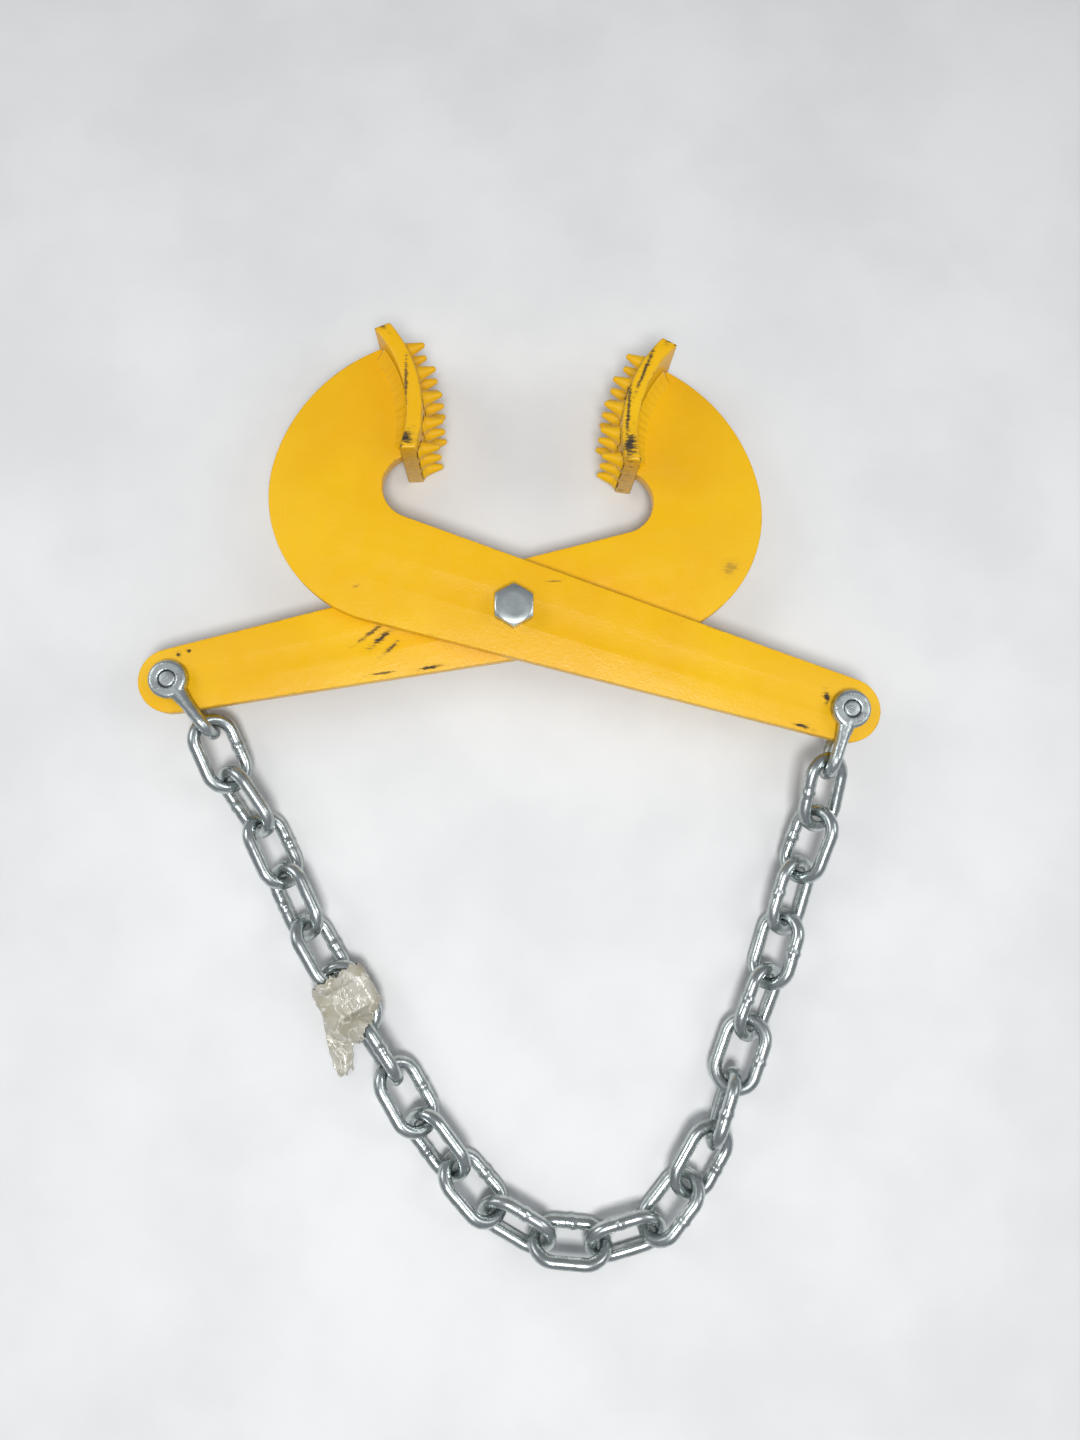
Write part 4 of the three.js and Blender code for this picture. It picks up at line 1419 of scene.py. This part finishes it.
@dataclass
class TapeWrap:
    """Packing tape stretched round one link and the ends of its neighbours, with a torn end."""

    chain: WeldedChain
    lies: list[LinkPlace]
    film: bpy.types.Material
    link: int = 6
    clearance: float = 0.0011
    length: float = 0.041
    slant: float = math.radians(24)
    thickness: float = 0.00028
    tail_width: float = 0.022
    tail_length: float = 0.046
    tail_heading: float = math.radians(-83)
    tail_start: float = 0.007
    tail_offset: float = 0.0155
    tail_drop: float = 0.009
    tail_crease: float = 0.0034
    floor_gap: float = 0.0006
    crease: float = 0.0010
    tear: float = 0.0022
    layers: tuple = ((0.0, 51, (-math.pi, math.pi)), (0.0006, 61, (-0.4, 2.4)), (0.0011, 71, (1.2, 3.9)))

    def _frame(self) -> tuple[Array, Array]:
        """The taped link's length, a level direction to its left, and up, and its middle.

        Returns:
            A frame whose columns are these directions, and the middle.
        """
        lie = self.lies[self.link - 1]
        along = lie.axes[:, 0]
        level = np.cross([0.0, 0.0, 1.0], along)
        level /= np.linalg.norm(level)
        return np.stack([along, level, np.cross(along, level)], axis=1), lie.centre

    def _wires(self, axes: Array, centre: Array) -> Array:
        """Centre lines of the three taped links in the taped link's level frame.

        Args:
            axes: The taped link's frame.
            centre: Its middle.

        Returns:
            The places.
        """
        line, _ = self.chain.centre_line(240)
        flat = np.column_stack([line, np.zeros(len(line))])
        return np.concatenate([
            (self.lies[self.link - 1 + step].carry(flat) - centre) @ axes for step in (-1, 0, 1)
        ])

    def _reach(self, wires: Array, x: Array, angle: Array) -> Array:
        """Distance from the axis to the film at a place x and an angle.

        In each direction b the wires reach h(b) = max(y cos b + z sin b + sqrt(r^2 - dx^2)), and the
        stretched film lies at the least h(b) / cos(angle - b) over the directions b.

        Args:
            wires: Places on the links' centre lines.
            x: Places along the axis.
            angle: Directions round the axis, one row for each place.

        Returns:
            The distances, in rows like the angles.
        """
        ways = circle(72)
        off = wires[None, :, 0] - x[:, None]
        inside = (self.chain.wire / 2) ** 2 - off**2
        radius = np.sqrt(np.maximum(inside, 0))
        push = wires[:, 1:2] * np.cos(ways) + wires[:, 2:] * np.sin(ways)
        reach = np.where(inside[..., None] > 0, push[None] + radius[..., None], 0).max(axis=1)
        slope = np.cos(angle[:, :, None] - ways)
        found = np.where(slope > 0.2, (reach + self.clearance)[:, None, :] / np.maximum(slope, 0.2), 1.0)
        return found.min(axis=2)

    def _layer(self, wires: Array, rise: float, seed: int, spread: Pair) -> Array:
        """Rows of one layer of film in the link's frame, its ends ragged and its surface creased.

        The creases are ridges, large and small, that are higher on the upper side.

        Args:
            wires: Places on the links' centre lines.
            rise: How far it lies outside the first layer.
            seed: Picks its creases and tears.
            spread: First and last angle that it covers.

        Returns:
            Places in rows along the axis, in the link's frame.
        """
        rows, around = 54, 150
        angle = np.linspace(*spread, around)
        share = np.linspace(-0.5, 0.5, rows)[:, None]
        level = angle * 0
        torn = self.tear * (waves(angle * 3.0, level, seed) + 0.5 * waves(angle * 11.0, level, seed + 1))
        lean = -0.6 * self.length * math.tan(self.slant) * np.cos(angle + 0.5)
        x = share * self.length + np.where(share > 0, 2 * share * (lean + torn), 2 * share * torn)
        wide = np.broadcast_to(angle, x.shape)
        columns = (self._reach(wires, x[:, k], wide[:, k : k + 1]) for k in range(around))
        reach = np.concatenate(list(columns), axis=1)
        swell = waves(x * 170, wide * 2.6, seed + 2, 7, 0.8, 2.4)
        small = waves(x * 420, wide * 6, seed + 3, 7, 0.8, 2.4)
        crease = self.crease * ridges(swell, 5) + 0.4 * self.crease * ridges(small, 4)
        r = reach + rise + crease * (0.65 + 0.5 * np.sin(wide))
        return joined(x, r * np.cos(wide), r * np.sin(wide))

    def _torn_end(self) -> Array:
        """Rows of the torn end: a strip that leaves the wrap, drops to the floor and lies in waves.

        Its height is d (1 - t)^3 plus small waves, and its width shrinks unevenly to the tear.

        Returns:
            Places in rows along the strip, which starts at the origin.
        """
        t = np.linspace(0, 1, 60)[:, None]
        v = np.linspace(-1, 1, 26)[None]
        left = 1 - 0.30 * t**2 + 0.10 * waves(t * 7, t * 0, 31) * t
        right = 1 - 0.62 * t**2 + 0.12 * waves(t * 8, t * 0, 32) * t
        y = self.tail_width / 2 * np.where(v > 0, v * left, v * right)
        x = t * self.tail_length * (1 - 0.10 * (v + 0.2) ** 2 + 0.05 * waves(v * 6, v * 0, 33))
        crest = ridges(waves(x * 110, y * 190, 34, 7, 0.8, 2.2), 3)
        z = self.tail_drop * (1 - t) ** 3 + self.floor_gap + self.tail_crease * crest * (0.35 + 0.65 * t)
        return joined(x, y, z)

    def _lay_tail(self, rows: Array, axes: Array, centre: Array) -> Array:
        """The torn end, laid on the floor from the wrap's lower end.

        Args:
            rows: Places of the strip.
            axes: The taped link's frame.
            centre: Its middle.

        Returns:
            The places on the floor.
        """
        heading = math.atan2(axes[1, 0], axes[0, 0])
        c, s = math.cos(heading), math.sin(heading)
        x = centre[0] + self.tail_start * c + self.tail_offset * s
        y = centre[1] + self.tail_start * s - self.tail_offset * c
        return Placing(self.tail_heading, (x, y, 0.0)).carry(rows)

    def build(self) -> None:
        """Builds and dresses the tape, with a real thickness."""
        axes, centre = self._frame()
        wires = self._wires(axes, centre)
        surface = Surface()
        for rise, seed, spread in self.layers:
            layer = self._layer(wires, rise, seed, spread) @ axes.T + centre
            surface.grid(layer, around=False)
        surface.grid(self._lay_tail(self._torn_end(), axes, centre), around=False)
        piece = surface.build("tape_crumpled_film", 180)
        solidify = piece.modifiers.new("film", "SOLIDIFY")
        solidify.thickness = self.thickness
        solidify.offset = 0.0
        dress(piece, f"link_{self.link:02d}", "tape_wrap", self.film)


@dataclass
class Studio:
    """Pale floor, soft lamps and the camera above the tool."""

    camera_place: tuple[float, float, float] = (0.00191, -0.03024, 0.850)
    camera_turn: tuple[float, float, float] = (0.105945, -0.031528, 0.042834)
    lens: float = 26.8
    floor_size: float = 6.0
    sensor: float = 36.0
    world_level: float = 0.36
    world_colour: tuple = (0.9, 0.93, 1.0, 1.0)
    lamps: tuple = (
        ("key_lamp", (0.05, -0.42, 1.65), 0.42, 21.0),
        ("left_lamp", (-1.5, 0.5, 1.3), 0.9, 7.0),
        ("right_lamp", (1.5, 0.3, 1.5), 0.9, 6.0),
    )

    def _lamp(self, name: str, place: tuple, size: float, power: float) -> None:
        """One square soft lamp that faces the origin.

        Args:
            name: Its name.
            place: Where it hangs.
            size: Length of its side.
            power: Its power.
        """
        data = bpy.data.lights.new(name, "AREA")
        data.shape = "SQUARE"
        data.size = size
        data.energy = power
        lamp = placed(name, data)
        lamp.location = place
        x, y, z = place
        lamp.rotation_euler = Euler((math.atan2(math.hypot(x, y), z), 0.0, math.atan2(x, -y)))

    def build(self) -> None:
        """Builds the floor, the lamps, the world and the camera."""
        half = self.floor_size / 2
        mesh = bpy.data.meshes.new("floor")
        corners = [(-half, -half, 0), (half, -half, 0), (half, half, 0), (-half, half, 0)]
        mesh.from_pydata(corners, [], [(0, 1, 2, 3)])
        mesh.materials.append(PaleFloor().material())
        placed("floor", mesh)
        for lamp in self.lamps:
            self._lamp(*lamp)

        world = bpy.data.worlds.new("studio")
        bpy.context.scene.world = world
        world.use_nodes = True
        background = world.node_tree.nodes["Background"].inputs
        background["Color"].default_value = self.world_colour
        background["Strength"].default_value = self.world_level

        data = bpy.data.cameras.new("camera")
        data.lens = self.lens
        data.sensor_width = self.sensor
        camera = placed("camera", data)
        camera.location = self.camera_place
        camera.rotation_euler = Euler(self.camera_turn)
        bpy.context.scene.camera = camera
        bpy.context.scene.view_settings.view_transform = "Standard"


def painted(pivot_y: float) -> dict[str, bpy.types.Material]:
    """The paint of each yellow piece, with its own scuffs, placed from the pivot.

    Args:
        pivot_y: The pivot's place along Y.

    Returns:
        The material of each piece, by name.
    """
    upper = (
        Scuff(0.222, pivot_y - 0.080, 0.012, 0.0030, -0.25),
        Scuff(0.240, pivot_y - 0.058, 0.0045, 0.010, 0.2),
        Scuff(0.030, pivot_y + 0.022, 0.012, 0.0012, 0.1, 0.5),
        Scuff(0.160, pivot_y - 0.010, 0.016, 0.0016, -0.25, 0.7),
        Scuff(-0.120, pivot_y + 0.010, 0.0050, 0.0024, 0.4, 0.35),
    )
    lower = (
        Scuff(-0.100, pivot_y - 0.026, 0.020, 0.0040, 0.75),
        Scuff(-0.108, pivot_y - 0.022, 0.024, 0.0030, 0.7, 0.8),
        Scuff(-0.092, pivot_y - 0.033, 0.014, 0.0030, 0.8, 0.8),
        Scuff(-0.062, pivot_y - 0.047, 0.016, 0.0026, 0.2),
        Scuff(-0.098, pivot_y - 0.053, 0.018, 0.0016, 0.2, 0.8),
        Scuff(0.166, pivot_y + 0.042, 0.012, 0.0090, 0.9, 0.35),
        Scuff(-0.252, pivot_y - 0.046, 0.0040, 0.004, 0.15),
        Scuff(-0.244, pivot_y - 0.043, 0.0030, 0.003, 0.15),
    )
    left = (
        Scuff(-0.086, pivot_y + 0.118, 0.0110, 0.0110, 0.3),
        Scuff(-0.111, pivot_y + 0.206, 0.0120, 0.0055, -0.6),
        Scuff(-0.088, pivot_y + 0.160, 0.0025, 0.0400, 0.05, 0.8),
    )
    right = (
        Scuff(0.081, pivot_y + 0.122, 0.0100, 0.0200, 0.05),
        Scuff(0.079, pivot_y + 0.150, 0.0030, 0.0500, -0.03, 0.9),
        Scuff(0.090, pivot_y + 0.180, 0.0030, 0.0400, -0.35, 0.9),
        Scuff(0.110, pivot_y + 0.206, 0.0120, 0.0055, 0.6),
    )
    return {
        "upper_arm": YellowPaint("paint_upper_arm", upper, 0.5).material(),
        "lower_arm": YellowPaint("paint_lower_arm", lower, 0.5).material(),
        "left_jaw": YellowPaint("paint_left_jaw", left, 0.8).material(),
        "right_jaw": YellowPaint("paint_right_jaw", right, 0.85).material(),
        "weld": YellowPaint("paint_welds", (), 0.1).material(),
    }


def main() -> None:
    """Builds the sub-assemblies in order, dresses them and sets the stage."""
    low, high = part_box("pivot_bolt")
    pivot = ((low[0] + high[0]) / 2, (low[1] + high[1]) / 2)
    paints = painted(pivot[1])
    arms = {side: ScissorArm(side, pivot, paints) for side in Side}
    for arm in arms.values():
        arm.build()
    PivotBolt(pivot, BrightZinc("bolt_zinc", smooth=0.26, rough=0.45).material()).build()

    forged = BrightZinc("shackle_zinc", smooth=0.22, rough=0.5, dent=0.0005).material()
    # Each shackle's heading and the turn of its pin's lug, in degrees
    for side, heading, lug in ((Side.LEFT, -49.4, 24.0), (Side.RIGHT, -106.0, -38.0)):
        arm = arms[side.other]
        Shackle(side, arm.tail, arm.top, math.radians(heading), math.radians(lug), forged).build()

    grains = ((3.0, 0.8, 1.0), (0.8, 3.0, 1.0), (1.6, 1.6, 0.6))
    zinc = [
        BrightZinc(f"chain_zinc_{k}", smooth=0.16 + 0.03 * k, rough=0.42, grain=grain).material()
        for k, grain in enumerate(grains)
    ]
    chain = WeldedChain(zinc)
    lies = chain.build()
    TapeWrap(chain, lies, PackingTape("tape_film").material()).build()
    Studio().build()


if __name__ == "__main__":
    main()
